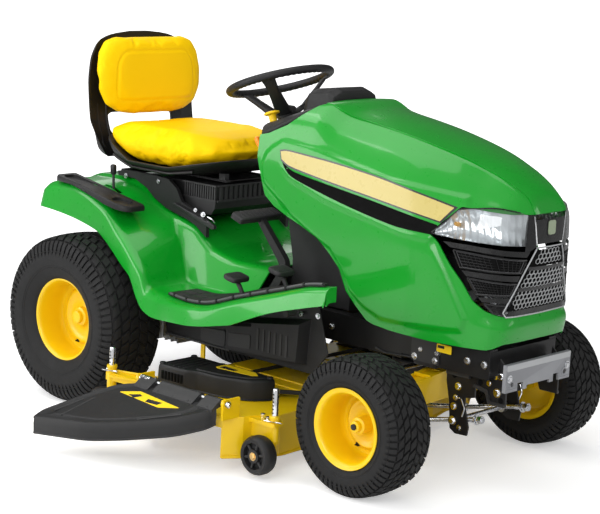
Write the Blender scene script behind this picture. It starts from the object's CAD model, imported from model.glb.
"""Looks of a riding lawn mower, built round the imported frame.

X points forward, Y to the left and Z up. Lengths are millimetres from the ground under the
rear axle; objects are built in metres. In loops over both sides s is -1 right and 1 left.
"""
import math
from math import cos, hypot, pi, radians, sin
import bpy
import bmesh
import numpy as np
from mathutils import Matrix, Vector

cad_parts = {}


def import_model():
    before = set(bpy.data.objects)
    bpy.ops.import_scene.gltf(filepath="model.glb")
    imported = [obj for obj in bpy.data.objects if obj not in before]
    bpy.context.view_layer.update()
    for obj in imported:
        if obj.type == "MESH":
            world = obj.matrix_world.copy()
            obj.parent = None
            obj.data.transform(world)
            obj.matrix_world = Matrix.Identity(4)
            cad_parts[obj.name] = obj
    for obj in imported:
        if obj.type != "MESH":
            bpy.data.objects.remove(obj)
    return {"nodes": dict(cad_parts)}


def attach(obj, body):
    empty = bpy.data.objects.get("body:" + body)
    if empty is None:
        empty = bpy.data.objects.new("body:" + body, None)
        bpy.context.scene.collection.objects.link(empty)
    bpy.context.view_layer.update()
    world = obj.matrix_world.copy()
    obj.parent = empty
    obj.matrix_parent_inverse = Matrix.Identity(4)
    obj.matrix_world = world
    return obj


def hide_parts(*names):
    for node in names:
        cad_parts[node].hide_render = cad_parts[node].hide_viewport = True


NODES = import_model()["nodes"]
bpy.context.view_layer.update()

# place of the point under the rear axle in the frame's own axes
ORIGIN_X, ORIGIN_Y = -602.5, 141.0
SIDES = ((-1, "right"), (1, "left"))
WHEELBASE = 1245
REAR_HUB_Y, REAR_HUB_Z = 394.6, 276
FRONT_HUB_Y, FRONT_HUB_Z = 422.6, 201.5


# ------------------------------------------------------------------ materials
def add_node(tree, kind, **values):
    """New node; each value goes to the input of that name, or else to the property."""
    node = tree.nodes.new(kind)
    for key, value in values.items():
        if key in node.inputs:
            node.inputs[key].default_value = value
        else:
            setattr(node, key, value)
    return node


def map_range(tree, source, from_min, from_max, to_min, to_max):
    node = add_node(tree, "ShaderNodeMapRange", **{
        "From Min": from_min, "From Max": from_max, "To Min": to_min, "To Max": to_max})
    tree.links.new(source, node.inputs["Value"])
    return node.outputs[0]


def mix_color(tree, factor, base, color):
    mix = add_node(tree, "ShaderNodeMix", data_type="RGBA")
    tree.links.new(factor, mix.inputs["Factor"])
    tree.links.new(base, mix.inputs["A"])
    mix.inputs["B"].default_value = (*color, 1)
    return mix.outputs["Result"]


def empty_material(name):
    mat = bpy.data.materials.new(name)
    mat.use_nodes = True
    mat.node_tree.nodes.clear()
    return mat, mat.node_tree


def material(name, color, rough=0.4, metal=0.0, coat=0.0, grain=0.0, scale=600.0, mottle=0.05,
             rough_var=0.08, dust=0.0, tint=(0.22, 0.21, 0.2), stretch=None, spec=0.5, wear=0.0):
    """Principled surface textured from object coordinates.

    mottle: large soft colour change; rough_var: spread of roughness; grain, scale: strength
    and noise scale of the bump; stretch: scale of the noise along each axis; dust, tint:
    patches of a second colour; wear: lighter edges.
    """
    mat, tree = empty_material(name)
    link = tree.links.new
    output = add_node(tree, "ShaderNodeOutputMaterial")
    shader = add_node(tree, "ShaderNodeBsdfPrincipled", Metallic=metal, IOR=1.45, **{
        "Specular IOR Level": spec, "Coat Weight": coat, "Coat Roughness": 0.06})
    link(shader.outputs[0], output.inputs[0])
    coords = add_node(tree, "ShaderNodeTexCoord")
    mapping = add_node(tree, "ShaderNodeMapping")
    link(coords.outputs["Object"], mapping.inputs["Vector"])
    if stretch:
        mapping.inputs["Scale"].default_value = stretch
    large = add_node(tree, "ShaderNodeTexNoise", Scale=5.0, Detail=4.0, Roughness=0.55)
    link(coords.outputs["Object"], large.inputs["Vector"])
    if grain > 0:
        fine = add_node(tree, "ShaderNodeTexNoise", Scale=scale, Detail=3.0, Roughness=0.6)
        link(mapping.outputs[0], fine.inputs["Vector"])
        bump = add_node(tree, "ShaderNodeBump", Strength=min(1.0, grain), Distance=0.0006)
        link(fine.outputs["Fac"], bump.inputs["Height"])
        link(bump.outputs[0], shader.inputs["Normal"])
    medium = add_node(tree, "ShaderNodeTexNoise", Scale=38.0, Detail=6.0, Roughness=0.65)
    link(mapping.outputs[0], medium.inputs["Vector"])

    shade = add_node(tree, "ShaderNodeVectorMath", operation="SCALE")
    shade.inputs[0].default_value = color
    link(map_range(tree, large.outputs["Fac"], 0.3, 0.7, 1.0 - mottle, 1.0 + mottle),
         shade.inputs["Scale"])
    surface = shade.outputs[0]
    if dust > 0:
        amount = map_range(tree, medium.outputs["Fac"], 0.42, 0.72, 0.0, dust)
        surface = mix_color(tree, amount, surface, tint)
    if wear > 0:
        geometry = add_node(tree, "ShaderNodeNewGeometry")
        amount = map_range(tree, geometry.outputs["Pointiness"], 0.53, 0.62, 0.0, wear)
        surface = mix_color(tree, amount, surface, [min(1, c * 1.6 + 0.08) for c in color])
    link(surface, shader.inputs["Base Color"])
    link(map_range(tree, medium.outputs["Fac"], 0.3, 0.7, max(0.02, rough - rough_var),
                   min(1.0, rough + rough_var)), shader.inputs["Roughness"])
    mat.diffuse_color = (*color, 1)
    return mat


def lens_material():
    """Clear cover: transparent with a sharp, slightly uneven reflection."""
    mat, tree = empty_material("clear_lens")
    link = tree.links.new
    output = add_node(tree, "ShaderNodeOutputMaterial")
    mix = add_node(tree, "ShaderNodeMixShader")
    clear = add_node(tree, "ShaderNodeBsdfTransparent", Color=(0.95, 0.97, 0.98, 1))
    glossy = add_node(tree, "ShaderNodeBsdfGlossy", Roughness=0.04)
    fresnel = add_node(tree, "ShaderNodeFresnel", IOR=1.5)
    coords = add_node(tree, "ShaderNodeTexCoord")
    noise = add_node(tree, "ShaderNodeTexNoise", Scale=60)
    bump = add_node(tree, "ShaderNodeBump", Strength=0.05, Distance=0.001)
    link(coords.outputs["Object"], noise.inputs["Vector"])
    link(noise.outputs["Fac"], bump.inputs["Height"])
    link(bump.outputs[0], glossy.inputs["Normal"])
    lift = add_node(tree, "ShaderNodeMath", operation="ADD")
    lift.inputs[1].default_value = 0.06
    link(fresnel.outputs[0], lift.inputs[0])
    link(lift.outputs[0], mix.inputs[0])
    link(clear.outputs[0], mix.inputs[1])
    link(glossy.outputs[0], mix.inputs[2])
    link(mix.outputs[0], output.inputs[0])
    return mat


GREEN = material("body_green", (0.0012, 0.285, 0.014), rough=0.30, coat=0.55, grain=0.02,
                 scale=260, mottle=0.03, rough_var=0.04, spec=0.34)
YELLOW = material("yellow_paint", (0.84, 0.545, 0.002), rough=0.34, coat=0.18, grain=0.06,
                  scale=300, mottle=0.03, rough_var=0.06)
VINYL = material("yellow_vinyl", (0.96, 0.60, 0.001), rough=0.52, grain=0.16, scale=900,
                 mottle=0.02, rough_var=0.05, spec=0.10)
KNOB = material("yellow_knob", (0.98, 0.62, 0.01), rough=0.30, grain=0.08, scale=500, mottle=0.03)
ORANGE = material("lever_orange", (0.93, 0.26, 0.01), rough=0.32, grain=0.08, scale=500,
                  mottle=0.03)
BLACK = material("black_plastic", (0.0115, 0.0115, 0.012), rough=0.50, spec=0.38, grain=0.42,
                 scale=1500, mottle=0.12, rough_var=0.07, wear=0.25)
GLOSS = material("gloss_black", (0.007, 0.007, 0.0075), rough=0.28, coat=0.15, grain=0.05,
                 scale=400, mottle=0.1)
STEELBLK = material("black_steel", (0.009, 0.009, 0.0095), rough=0.38, spec=0.4, grain=0.22,
                    scale=700, mottle=0.12, wear=0.35)
GREY = material("grey_plate", (0.23, 0.235, 0.25), grain=0.15, scale=700, metal=0.15, wear=0.3)
TRIM = material("grey_trim", (0.060, 0.060, 0.064), rough=0.45, grain=0.25, scale=1200,
                mottle=0.06)
STEEL = material("bare_steel", (0.62, 0.63, 0.65), rough=0.27, metal=1.0, grain=0.18, scale=420,
                 mottle=0.08, stretch=(1, 1, 6))
SILVER = material("silver_trim", (0.58, 0.59, 0.60), rough=0.30, metal=0.75, grain=0.06,
                  scale=500, mottle=0.04)
ALLOY = material("cast_alloy", (0.42, 0.43, 0.44), rough=0.5, metal=0.9, grain=0.7, scale=240,
                 mottle=0.12)
IRON = material("engine_iron", (0.05, 0.05, 0.053), rough=0.55, metal=0.4, grain=0.6, scale=260,
                mottle=0.15)
RUBBER = material("tyre_rubber", (0.0105, 0.0105, 0.0108), rough=0.66, grain=0.5, scale=700,
                  mottle=0.14, rough_var=0.10, dust=0.07, tint=(0.045, 0.044, 0.043), spec=0.32)
MAT = material("mat_rubber", (0.009, 0.009, 0.0095), rough=0.60, spec=0.35, grain=0.5, scale=900,
               mottle=0.12, dust=0.06)
BELT = material("belt_rubber", (0.015, 0.015, 0.015), rough=0.8, grain=0.6, scale=900, mottle=0.1)
SEATBLK = material("seat_shell_black", (0.011, 0.0095, 0.0095), rough=0.44, spec=0.38, grain=0.3,
                   scale=1400, mottle=0.1, wear=0.2)
REFLECTOR = material("lamp_reflector", (0.80, 0.83, 0.85), rough=0.10, metal=0.55, coat=1.0,
                     mottle=0.10)
AMBER = material("lamp_bulb", (0.85, 0.42, 0.05), rough=0.2, coat=0.5, mottle=0.1)
BRASS = material("brass_bolt", (0.75, 0.50, 0.22), rough=0.3, metal=1.0, grain=0.2, mottle=0.08)
CHROME = material("bright_steel", (0.82, 0.83, 0.85), rough=0.13, metal=1.0, mottle=0.04)
DECAL = material("decal_yellow", (0.54, 0.44, 0.14), rough=0.30, coat=0.2, mottle=0.02)
DECALDK = material("decal_dark", (0.020, 0.020, 0.024), rough=0.28, coat=0.4)
LABEL = material("label_yellow", (0.97, 0.66, 0.01), rough=0.35, coat=0.2, mottle=0.02)
MESHGREY = material("mesh_grey", (0.34, 0.345, 0.35), metal=0.3)
PALE = material("pale_band", (0.42, 0.43, 0.44), rough=0.38, metal=0.1, grain=0.05, scale=400,
                mottle=0.04)
DARK = material("dark_hollow", (0.004, 0.004, 0.004), rough=0.8, mottle=0.1, spec=0.08)
BADGE = material("pale_badge", (0.30, 0.36, 0.24), rough=0.3, coat=0.4)
CLEAR = lens_material()


# ------------------------------------------------------------------ objects and modifiers
def to_metres(points):
    return [((float(x) + ORIGIN_X) * 0.001, (float(y) + ORIGIN_Y) * 0.001, float(z) * 0.001)
            for x, y, z in points]


def clean_mesh(mesh, merge=0.0):
    """Merges close points and turns the faces outward."""
    bm = bmesh.new()
    bm.from_mesh(mesh)
    if merge:
        bmesh.ops.remove_doubles(bm, verts=bm.verts, dist=merge)
    bmesh.ops.recalc_face_normals(bm, faces=bm.faces)
    bm.to_mesh(mesh)
    bm.free()


def new_object(name, data):
    obj = bpy.data.objects.new(name, data)
    bpy.context.scene.collection.objects.link(obj)
    return obj


def sharpen(mesh, angle):
    mesh.shade_smooth()
    mesh.set_sharp_from_angle(angle=radians(angle))


def place(obj, body, replaces=()):
    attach(obj, body)
    if replaces:
        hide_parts(*replaces)


def make(name, shape, mat, body=None, smooth=True, angle=32.0):
    """Object of one material from a shape, a pair of points and faces."""
    mesh = bpy.data.meshes.new(name)
    mesh.from_pydata(to_metres(shape[0]), [], shape[1])
    mesh.validate(clean_customdata=False)
    clean_mesh(mesh, 1e-6)
    obj = new_object(name, mesh)
    mesh.materials.append(mat)
    if smooth:
        sharpen(mesh, angle)
    if body:
        place(obj, body)
    return obj


def set_materials(obj, *mats):
    obj.data.materials.clear()
    for mat in mats:
        obj.data.materials.append(mat)


def set_one_finish(obj, mat):
    set_materials(obj, mat)
    for face in obj.data.polygons:
        face.material_index = 0


def modify(obj, name, kind, **settings):
    modifier = obj.modifiers.new(name, kind)
    for key, value in settings.items():
        setattr(modifier, key, value)
    return modifier


def bevel(obj, width, segments=2, angle=28.0):
    modify(obj, "bevel", "BEVEL", width=width * 0.001, segments=segments,
           limit_method="ANGLE", angle_limit=radians(angle), harden_normals=False)


def bake(obj):
    """Applies the modifiers of an object."""
    depsgraph = bpy.context.evaluated_depsgraph_get()
    mesh = bpy.data.meshes.new_from_object(obj.evaluated_get(depsgraph), depsgraph=depsgraph)
    old = obj.data
    obj.modifiers.clear()
    obj.data = mesh
    if old.users == 0:
        bpy.data.meshes.remove(old)


def boolean(obj, tools, operation="DIFFERENCE"):
    for tool in tools:
        modify(obj, "b", "BOOLEAN", operation=operation, solver="EXACT", object=tool)
    bake(obj)
    for tool in tools:
        bpy.data.objects.remove(tool)


def finish_cad(node, mat, width=0.0, segments=2, angle=30):
    """Keeps a CAD node, with a finish and softened edges."""
    obj = NODES[node]
    set_one_finish(obj, mat)
    if width > 0:
        modify(obj, "weld", "WELD", merge_threshold=0.00002)
        bevel(obj, width, segments, angle)
    return obj


# ------------------------------------------------------------------ shapes
def prism_faces(count):
    faces = [tuple(range(count)), tuple(range(2 * count - 1, count - 1, -1))]
    for i in range(count):
        j = (i + 1) % count
        faces.append((i, j, count + j, count + i))
    return faces


def prism_mesh(outline, plane, start, end):
    """Closed outline in a plane, extruded from start to end."""
    def point(u, v, w):
        return {"XZ": (u, w, v), "XY": (u, v, w), "YZ": (w, u, v)}[plane]
    verts = [point(u, v, w) for w in sorted((start, end)) for u, v in outline]
    return verts, prism_faces(len(outline))


def loft_faces(count, rings):
    faces = []
    for i in range(rings - 1):
        for j in range(count):
            a, b = i * count + j, i * count + (j + 1) % count
            faces.append((a, b, b + count, a + count))
    faces.append(tuple(range(count))[::-1])
    faces.append(tuple(range((rings - 1) * count, rings * count)))
    return faces


def loft_mesh(rings):
    """Skin over closed rings, capped at both ends."""
    return [p for ring in rings for p in ring], loft_faces(len(rings[0]), len(rings))


def spin_faces(turns, count):
    return [(i * count + j, i * count + j + 1,
             (i + 1) % turns * count + j + 1, (i + 1) % turns * count + j)
            for i in range(turns) for j in range(count - 1)]


def lathe_mesh(profile, turns, centre=(0, 0, 0), axis="Z"):
    """Profile of (radius, along) turned about an axis."""
    verts = []
    for i in range(turns):
        angle = radians(360.0 * i / turns)
        c, s = cos(angle), sin(angle)
        for r, h in profile:
            x, y, z = {"X": (h, r * c, r * s), "Y": (r * s, h, r * c),
                       "Z": (r * c, r * s, h)}[axis]
            verts.append((x + centre[0], y + centre[1], z + centre[2]))
    return verts, spin_faces(turns, len(profile))


def tube_mesh(path, radius, sides=12):
    """Round bar along points; radius may be a list, one for each point."""
    points = [Vector(p) for p in path]
    last = len(points) - 1
    tangents = [(points[min(i + 1, last)] - points[max(i - 1, 0)]).normalized()
                for i in range(last + 1)]
    up = Vector((0, 0, 1)) if abs(tangents[0].z) < 0.9 else Vector((1, 0, 0))
    across = tangents[0].cross(up).normalized()
    verts = []
    for i, (point, tangent) in enumerate(zip(points, tangents)):
        across = (across - tangent * across.dot(tangent)).normalized()
        other = tangent.cross(across)
        r = radius[i] if isinstance(radius, (list, tuple)) else radius
        for k in range(sides):
            t = 2 * pi * k / sides
            verts.append(tuple(point + across * (r * cos(t)) + other * (r * sin(t))))
    return verts, loft_faces(sides, len(points))


def grid_faces(columns, rows):
    return [(i * columns + j, i * columns + j + 1,
             (i + 1) * columns + j + 1, (i + 1) * columns + j)
            for i in range(rows - 1) for j in range(columns - 1)]


def grid_rim(columns, rows):
    """Indices round the edge of a grid."""
    return ([*range(columns)] + [columns * i + columns - 1 for i in range(1, rows)]
            + [columns * (rows - 1) + j for j in range(columns - 2, -1, -1)]
            + [columns * i for i in range(rows - 2, 0, -1)])


def moved(shape, move):
    return [move(p) for p in shape[0]], shape[1]


def flip(s, points):
    """Points with Y multiplied by the side."""
    return [(x, s * y, *z) for x, y, *z in points]


def corner(before, at, after, radius, steps, share=0.48):
    """Points of one rounded corner, cut no further than a share of each leg."""
    near, far = math.dist(before, at), math.dist(after, at)
    cut = min(radius, near * share, far * share)
    start, end = at + (before - at) / near * cut, at + (after - at) / far * cut
    return [start * (1 - j / steps) ** 2 + at * (2 * (j / steps) * (1 - j / steps))
            + end * (j / steps) ** 2 for j in range(steps + 1)]


def bend(path, radius, steps=5):
    """Open 3D path with rounded corners."""
    points = [Vector(p) for p in path]
    out = [points[0]]
    for i in range(1, len(points) - 1):
        out += corner(*points[i - 1:i + 2], radius, steps, 0.49)
    return [tuple(p) for p in out + [points[-1]]]


def fillet(path, radii):
    """Open 2D path with rounded corners, always with the same number of points."""
    points = [np.array(p, float) for p in path]
    out = [points[0]]
    for i, radius in enumerate(radii):
        out += corner(*points[i:i + 3], radius, 5)
    return out + [points[-1]]


def rounded(outline, radius, steps=4):
    """Closed 2D outline with every corner rounded."""
    points = [np.array(p, float) for p in outline]
    out = []
    for i, point in enumerate(points):
        r = radius[i] if isinstance(radius, list) else radius
        out += corner(points[i - 1], point, points[(i + 1) % len(points)], r, steps)
    return [(float(u), float(v)) for u, v in out]


def scaled(outline, factor, centre):
    return [(centre[0] + (x - centre[0]) * factor, centre[1] + (y - centre[1]) * factor)
            for x, y in outline]


class Piece:
    """Collects shapes of one object; the first material is the default."""
    def __init__(self, *mats):
        self.mats = mats
        self.verts, self.faces, self.slots = [], [], []

    def add(self, shape, mat=None):
        verts, faces = shape
        start = len(self.verts)
        self.verts += list(verts)
        self.faces += [tuple(i + start for i in face) for face in faces]
        self.slots += [self.mats.index(mat) if mat else 0] * len(faces)

    def tube(self, path, radius, sides=12, mat=None):
        self.add(tube_mesh(path, radius, sides), mat)

    def box(self, x0, x1, y0, y1, z0, z1):
        y0, y1 = sorted((y0, y1))
        self.add(prism_mesh([(x0, y0), (x1, y0), (x1, y1), (x0, y1)], "XY", z0, z1))

    def prism(self, outline, plane, start, end, mat=None):
        self.add(prism_mesh(outline, plane, start, end), mat)

    def loft(self, rings, mat=None):
        self.add(loft_mesh(rings), mat)

    def lathe(self, profile, turns, centre, axis, mat=None):
        self.add(lathe_mesh(profile, turns, centre, axis), mat)

    def bolt(self, point, axis, radius, height, mat=None):
        """Hexagon head with a washer; axis points out of the surface."""
        out, point = Vector(axis).normalized(), Vector(point)
        self.tube([point - out * 1, point + out * 1.6], radius * 1.45, 20, mat)
        self.tube([point + out * 1.0, point + out * (height - 1.4), point + out * height],
                  [radius, radius, radius * 0.82], 6, mat)

    def build(self, name, body, slot, angle=32.0, replaces=()):
        mesh = bpy.data.meshes.new(name)
        mesh.from_pydata(to_metres(self.verts), [], self.faces)
        for mat in self.mats:
            mesh.materials.append(mat)
        mesh.polygons.foreach_set("material_index", self.slots)
        clean_mesh(mesh, 1e-7)
        sharpen(mesh, angle)
        obj = new_object(name, mesh)
        place(obj, body, replaces)
        return obj


def cutter(outline, plane="XZ", start=-320, end=320, radius=0):
    if radius:
        outline = rounded(outline, radius, 3)
    return cutter_from(prism_mesh(outline, plane, start, end))


def cutter_from(shape):
    return make("cutter", shape, GREEN, smooth=False)


# ------------------------------------------------------------------ interpolation
def pchip(xs, ys, x):
    """Smooth interpolation without overshoot. The rows of a 2D ys follow xs."""
    xs, ys, x = np.asarray(xs, float), np.asarray(ys, float), np.asarray(x, float)
    gaps = np.diff(xs)
    slopes = np.diff(ys, axis=0) / (gaps if ys.ndim == 1 else gaps[:, None])
    tangents = np.zeros_like(ys)
    tangents[0], tangents[-1] = slopes[0], slopes[-1]
    a, b = slopes[:-1], slopes[1:]
    with np.errstate(divide="ignore", invalid="ignore"):
        tangents[1:-1] = np.where(a * b > 0, 2 * a * b / (a + b), 0.0)
    i = np.clip(np.searchsorted(xs, x) - 1, 0, len(xs) - 2)
    t = (x - xs[i]) / gaps[i]
    gap = gaps[i]
    if ys.ndim > 1:
        t = t[..., None]
        gap = gap[..., None]
    t = np.clip(t, 0, 1)
    return ((2 * t**3 - 3 * t**2 + 1) * ys[i] + (t**3 - 2 * t**2 + t) * gap * tangents[i]
            + (-2 * t**3 + 3 * t**2) * ys[i + 1] + (t**3 - t**2) * gap * tangents[i + 1])


def row_at(table, x):
    """Row of a station table at x; the first column holds the stations."""
    return pchip(table[:, 0], table[:, 1:], np.array([x]))[0]


def smooth_step(low, high, value):
    t = np.clip((value - low) / (high - low), 0, 1)
    return t * t * (3 - 2 * t)


def bilinear(table, u, v):
    u = np.clip(u, 0, table.shape[0] - 1.001)
    v = np.clip(v, 0, table.shape[1] - 1.001)
    i, j = u.astype(int), v.astype(int)
    a, b = u - i, v - j
    return (table[i, j] * (1 - a) * (1 - b) + table[i + 1, j] * a * (1 - b)
            + table[i, j + 1] * (1 - a) * b + table[i + 1, j + 1] * a * b)


def root(fun, low, high):
    """Crossing by halving: fun is below zero at low and above at high."""
    low, high = np.array(low, float), np.array(high, float)
    for _ in range(34):
        middle = (low + high) / 2
        below = fun(middle) < 0
        low = np.where(below, middle, low)
        high = np.where(below, high, middle)
    return (low + high) / 2


def outline_distance(x, z, outline):
    """Signed distance to a closed outline, above zero inside."""
    starts = np.array(outline, float)
    distance = np.full(np.shape(x), 1e9)
    inside = np.zeros(np.shape(x), bool)
    for (ax, az), (bx, bz) in zip(starts, np.roll(starts, -1, axis=0)):
        t = np.clip(((x - ax) * (bx - ax) + (z - az) * (bz - az))
                    / ((bx - ax) ** 2 + (bz - az) ** 2 + 1e-9), 0, 1)
        distance = np.minimum(distance, np.hypot(x - ax - t * (bx - ax), z - az - t * (bz - az)))
        inside ^= (((az > z) != (bz > z))
                   & (x < (bx - ax) * (z - az) / (bz - az + 1e-12) + ax))
    return np.where(inside, distance, -distance)


# ------------------------------------------------------------------ hood shape as a field
# sections: x, top z, then (y, z) of the crease and three points below it, then y of the foot
HOOD_SECTIONS = np.array([
    [585, 1055, 162, 1049, 208, 1003, 232, 930, 239, 850, 237],
    [700, 1056, 162, 1050, 208, 1004, 233, 925, 240, 840, 238],
    [811, 1055, 160, 1049, 208, 1000, 233, 910, 242, 810, 241],
    [900, 1036, 143, 1021.5, 198, 972, 230, 890, 245, 770, 244],
    [1000, 1020, 138, 1006.5, 192, 952, 228, 868, 246, 740, 245],
    [1100, 1002, 138, 989.5, 188, 935, 225, 850, 246, 710, 245],
    [1200, 981, 135, 968.5, 183, 915, 220, 835, 245, 690, 243],
    [1300, 956, 126, 943.5, 173, 888, 206, 820, 240, 680, 236],
    [1400, 924, 101, 910.5, 150, 862, 186, 812, 218, 670, 222],
    [1450, 900, 96, 887.5, 140, 845, 175, 806, 205, 660, 212],
    [1500, 872, 85, 859.5, 125, 830, 157, 800, 190, 650, 200],
    [1522, 858, 78, 846.5, 115, 818, 147, 790, 180, 640, 196],
    [1560, 830, 66, 816, 100, 795, 130, 770, 170, 630, 190]], float)
# nose: z, then x at each of the distances from the middle in NOSE_Y
NOSE_Y = np.array([0, 54, 110, 150, 182, 212, 245.0])
NOSE_LEVELS = np.array([
    [395, 1503, 1503, 1502, 1498, 1470, 1420, 1300],
    [446, 1515, 1515, 1513, 1508, 1488, 1430, 1300],
    [492, 1525, 1525, 1523, 1517, 1490, 1430, 1300],
    [524, 1519, 1518, 1517, 1505, 1478, 1425, 1300],
    [716, 1543, 1540, 1524, 1503, 1465, 1400, 1290],
    [811, 1541, 1539, 1521, 1498, 1458, 1390, 1280],
    [847, 1528, 1525, 1508, 1480, 1440, 1370, 1260],
    [900, 1502, 1498, 1480, 1450, 1400, 1330, 1200],
    [1070, 1420, 1416, 1396, 1360, 1300, 1200, 1100]], float)
SECTION_Z = 620.0     # height of the section centre
FOOT_Z = 380.0
NOSE_BLEND = 26.0     # rounding between the sections and the nose
FAN_X = 1300.0        # ahead of here the hood grid fans round the nose
SECTION_X = np.linspace(585, 1560, 196)
SECTION_ANGLES = np.linspace(0, pi, 721)


def section_radii():
    """Radius about the section centre: rows follow SECTION_X, columns SECTION_ANGLES."""
    sections = pchip(HOOD_SECTIONS[:, 0], HOOD_SECTIONS[:, 1:], SECTION_X)
    radii = np.zeros((len(SECTION_X), len(SECTION_ANGLES)))
    for i, (top_z, *side, foot_y) in enumerate(sections):
        side = np.reshape(side, (4, 2))
        (crease_y, crease_z), (low_y, low_z) = side[0], side[3]
        s = np.linspace(0, 1, 40)[:-1]
        top = np.stack([s * crease_y, top_z + (crease_z - top_z) * s**2.2], 1)
        wall = np.array([*side, [(low_y + foot_y) / 2 + 1, (low_z + FOOT_Z) / 2],
                         [foot_y, FOOT_Z]])
        length = np.concatenate(
            [[0], np.cumsum(np.linalg.norm(np.diff(wall, axis=0), axis=1))])
        flank = pchip(length, wall, np.linspace(0, length[-1], 120))
        points = np.concatenate([top, flank, [[foot_y, 300.0], [0, 300.0]]])
        angle = np.arctan2(points[:, 0], points[:, 1] - SECTION_Z)
        radius = np.hypot(points[:, 0], points[:, 1] - SECTION_Z)
        angle = np.maximum.accumulate(angle + np.arange(len(angle)) * 1e-9)
        radii[i] = np.interp(SECTION_ANGLES, angle, radius)
    weights = np.array([1, 3, 6, 9, 10, 9, 6, 3, 1], float)
    weights /= weights.sum()
    padded = np.concatenate([radii[:, 4:0:-1], radii, radii[:, -2:-6:-1]], 1)
    return sum(weights[j] * padded[:, j:j + radii.shape[1]] for j in range(9))


def nose_table():
    """X of the nose: rows every 2.5 mm of height from 395, columns every 2.5 mm of Y."""
    levels = pchip(NOSE_LEVELS[:, 0], NOSE_LEVELS[:, 1:], np.linspace(395, 1070, 271))
    table = pchip(NOSE_Y, levels.T, np.linspace(0, 245, 99)).T
    weights = np.array([1, 4, 6, 4, 1], float) / 16
    for _ in range(2):
        padded = np.pad(table, ((2, 2), (0, 0)), mode="edge")
        table = sum(weights[j] * padded[j:j + table.shape[0]] for j in range(5))
    return table


SECTION_RADII = section_radii()
NOSE_X = nose_table()


def hood_field(x, y, z, off=0.0):
    """Below zero inside the hood shape; off moves the surface in."""
    x, y, z = np.broadcast_arrays(*(np.asarray(v, float) for v in (x, y, z)))
    distance = np.hypot(y, z - SECTION_Z)
    angle = np.arctan2(np.abs(y), z - SECTION_Z)
    barrel = distance - (bilinear(SECTION_RADII, (x - 585) / 5.0, angle / (pi / 720)) - off)
    row = (np.clip(z, 395, 1070) - 395) / 2.5
    column = np.clip(np.abs(y), 0, 245) / 2.5
    front = bilinear(NOSE_X, row, column)
    slope_y = (bilinear(NOSE_X, row, np.clip(column + 1, 0, 98))
               - bilinear(NOSE_X, row, np.clip(column - 1, 0, 98))) / 5.0
    slope_z = (bilinear(NOSE_X, np.clip(row + 1, 0, 270), column)
               - bilinear(NOSE_X, np.clip(row - 1, 0, 270), column)) / 5.0
    nose = (x - front) / np.sqrt(1 + slope_y**2 + slope_z**2) + off
    blend = np.maximum(NOSE_BLEND - np.abs(barrel - nose), 0) / NOSE_BLEND
    field = np.maximum(barrel, nose) + blend * blend * NOSE_BLEND * 0.25
    # flat facet above the badge
    return np.maximum(field, (x - 1539.0) * 0.868 + (z - 814.0) * 0.496 + off)


# (x, z) outlines on the side: the raised panel, and the edges of the slot in it
POD = [
    (640, 800), (632, 850), (645, 885), (669, 906), (707, 929), (857, 917), (1124, 866),
    (1372, 845), (1400, 780), (1300, 742), (1292, 716), (1340, 640), (1414, 508), (1406, 478),
    (1313, 470), (1138, 467), (1069, 492), (1018, 527), (973, 595), (930, 640), (856, 670),
    (760, 716), (690, 765), (655, 788)]
POD_HEIGHT = 6.5
SLOT_TOP = [(717, 867), (762, 846), (793, 840), (1069, 802), (1310, 764)]
SLOT_BOTTOM = [(724, 856), (752, 833), (900, 793), (1191, 740), (1304, 735)]


def hood_relief(x, z):
    """How far the side of the hood stands out at (x, z): raised panel, slot and lip below."""
    pod = POD_HEIGHT * (smooth_step(-10, 3, outline_distance(x, z, POD)) - 1.0)
    inside_slot = outline_distance(x, z, SLOT_TOP + SLOT_BOTTOM[::-1])
    slot = -1.0 * smooth_step(-1, 6, inside_slot)
    lip_z = np.interp(x, [720, 752, 900, 1191, 1304], [850, 826, 783, 729, 722])
    lip = (np.exp(-((z - lip_z) / 9.0) ** 2) * smooth_step(700, 740, x)
           * (1 - smooth_step(1285, 1310, x)) * 3.0)
    return pod + slot + lip


def hood_side(x, z, off):
    """Half width of the hood at (x, z) on the side."""
    y = root(lambda t: hood_field(x, t, z), np.zeros(x.shape), np.full(x.shape, 330.0))
    return y + hood_relief(x, z) + off


def hood_grid(off, step=7.0, count=340, relief=True):
    """Rows run from the rear forward, then fan round the nose to a point."""
    angles = np.linspace(0, 2 * pi, count, endpoint=False)
    rows = [(x, 0.0) for x in np.arange(588, 1301, step)]
    rows += [(FAN_X, tilt) for tilt in np.linspace(0, pi / 2, 70)[1:-1]]
    grid = np.zeros((len(rows) + 1, count, 3))
    for i, (x, tilt) in enumerate(rows):
        dx, dy, dz = sin(tilt), cos(tilt) * np.sin(angles), cos(tilt) * np.cos(angles)
        t = root(lambda t: hood_field(x + dx * t, dy * t, SECTION_Z + dz * t, off),
                 np.zeros(count), np.full(count, 800.0))
        grid[i, :, 0], grid[i, :, 1], grid[i, :, 2] = x + dx * t, dy * t, SECTION_Z + dz * t
    t = float(root(lambda t: hood_field(FAN_X + t, 0.0, SECTION_Z, off), 0.0, 800.0))
    grid[-1] = [FAN_X + t, 0, SECTION_Z]
    if relief:
        side = smooth_step(60, 150, np.abs(grid[:, :, 1]))
        height = hood_relief(grid[:, :, 0], grid[:, :, 2]) * side
        grid[:, :, 1] += np.sign(grid[:, :, 1]) * height
    return grid


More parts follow.
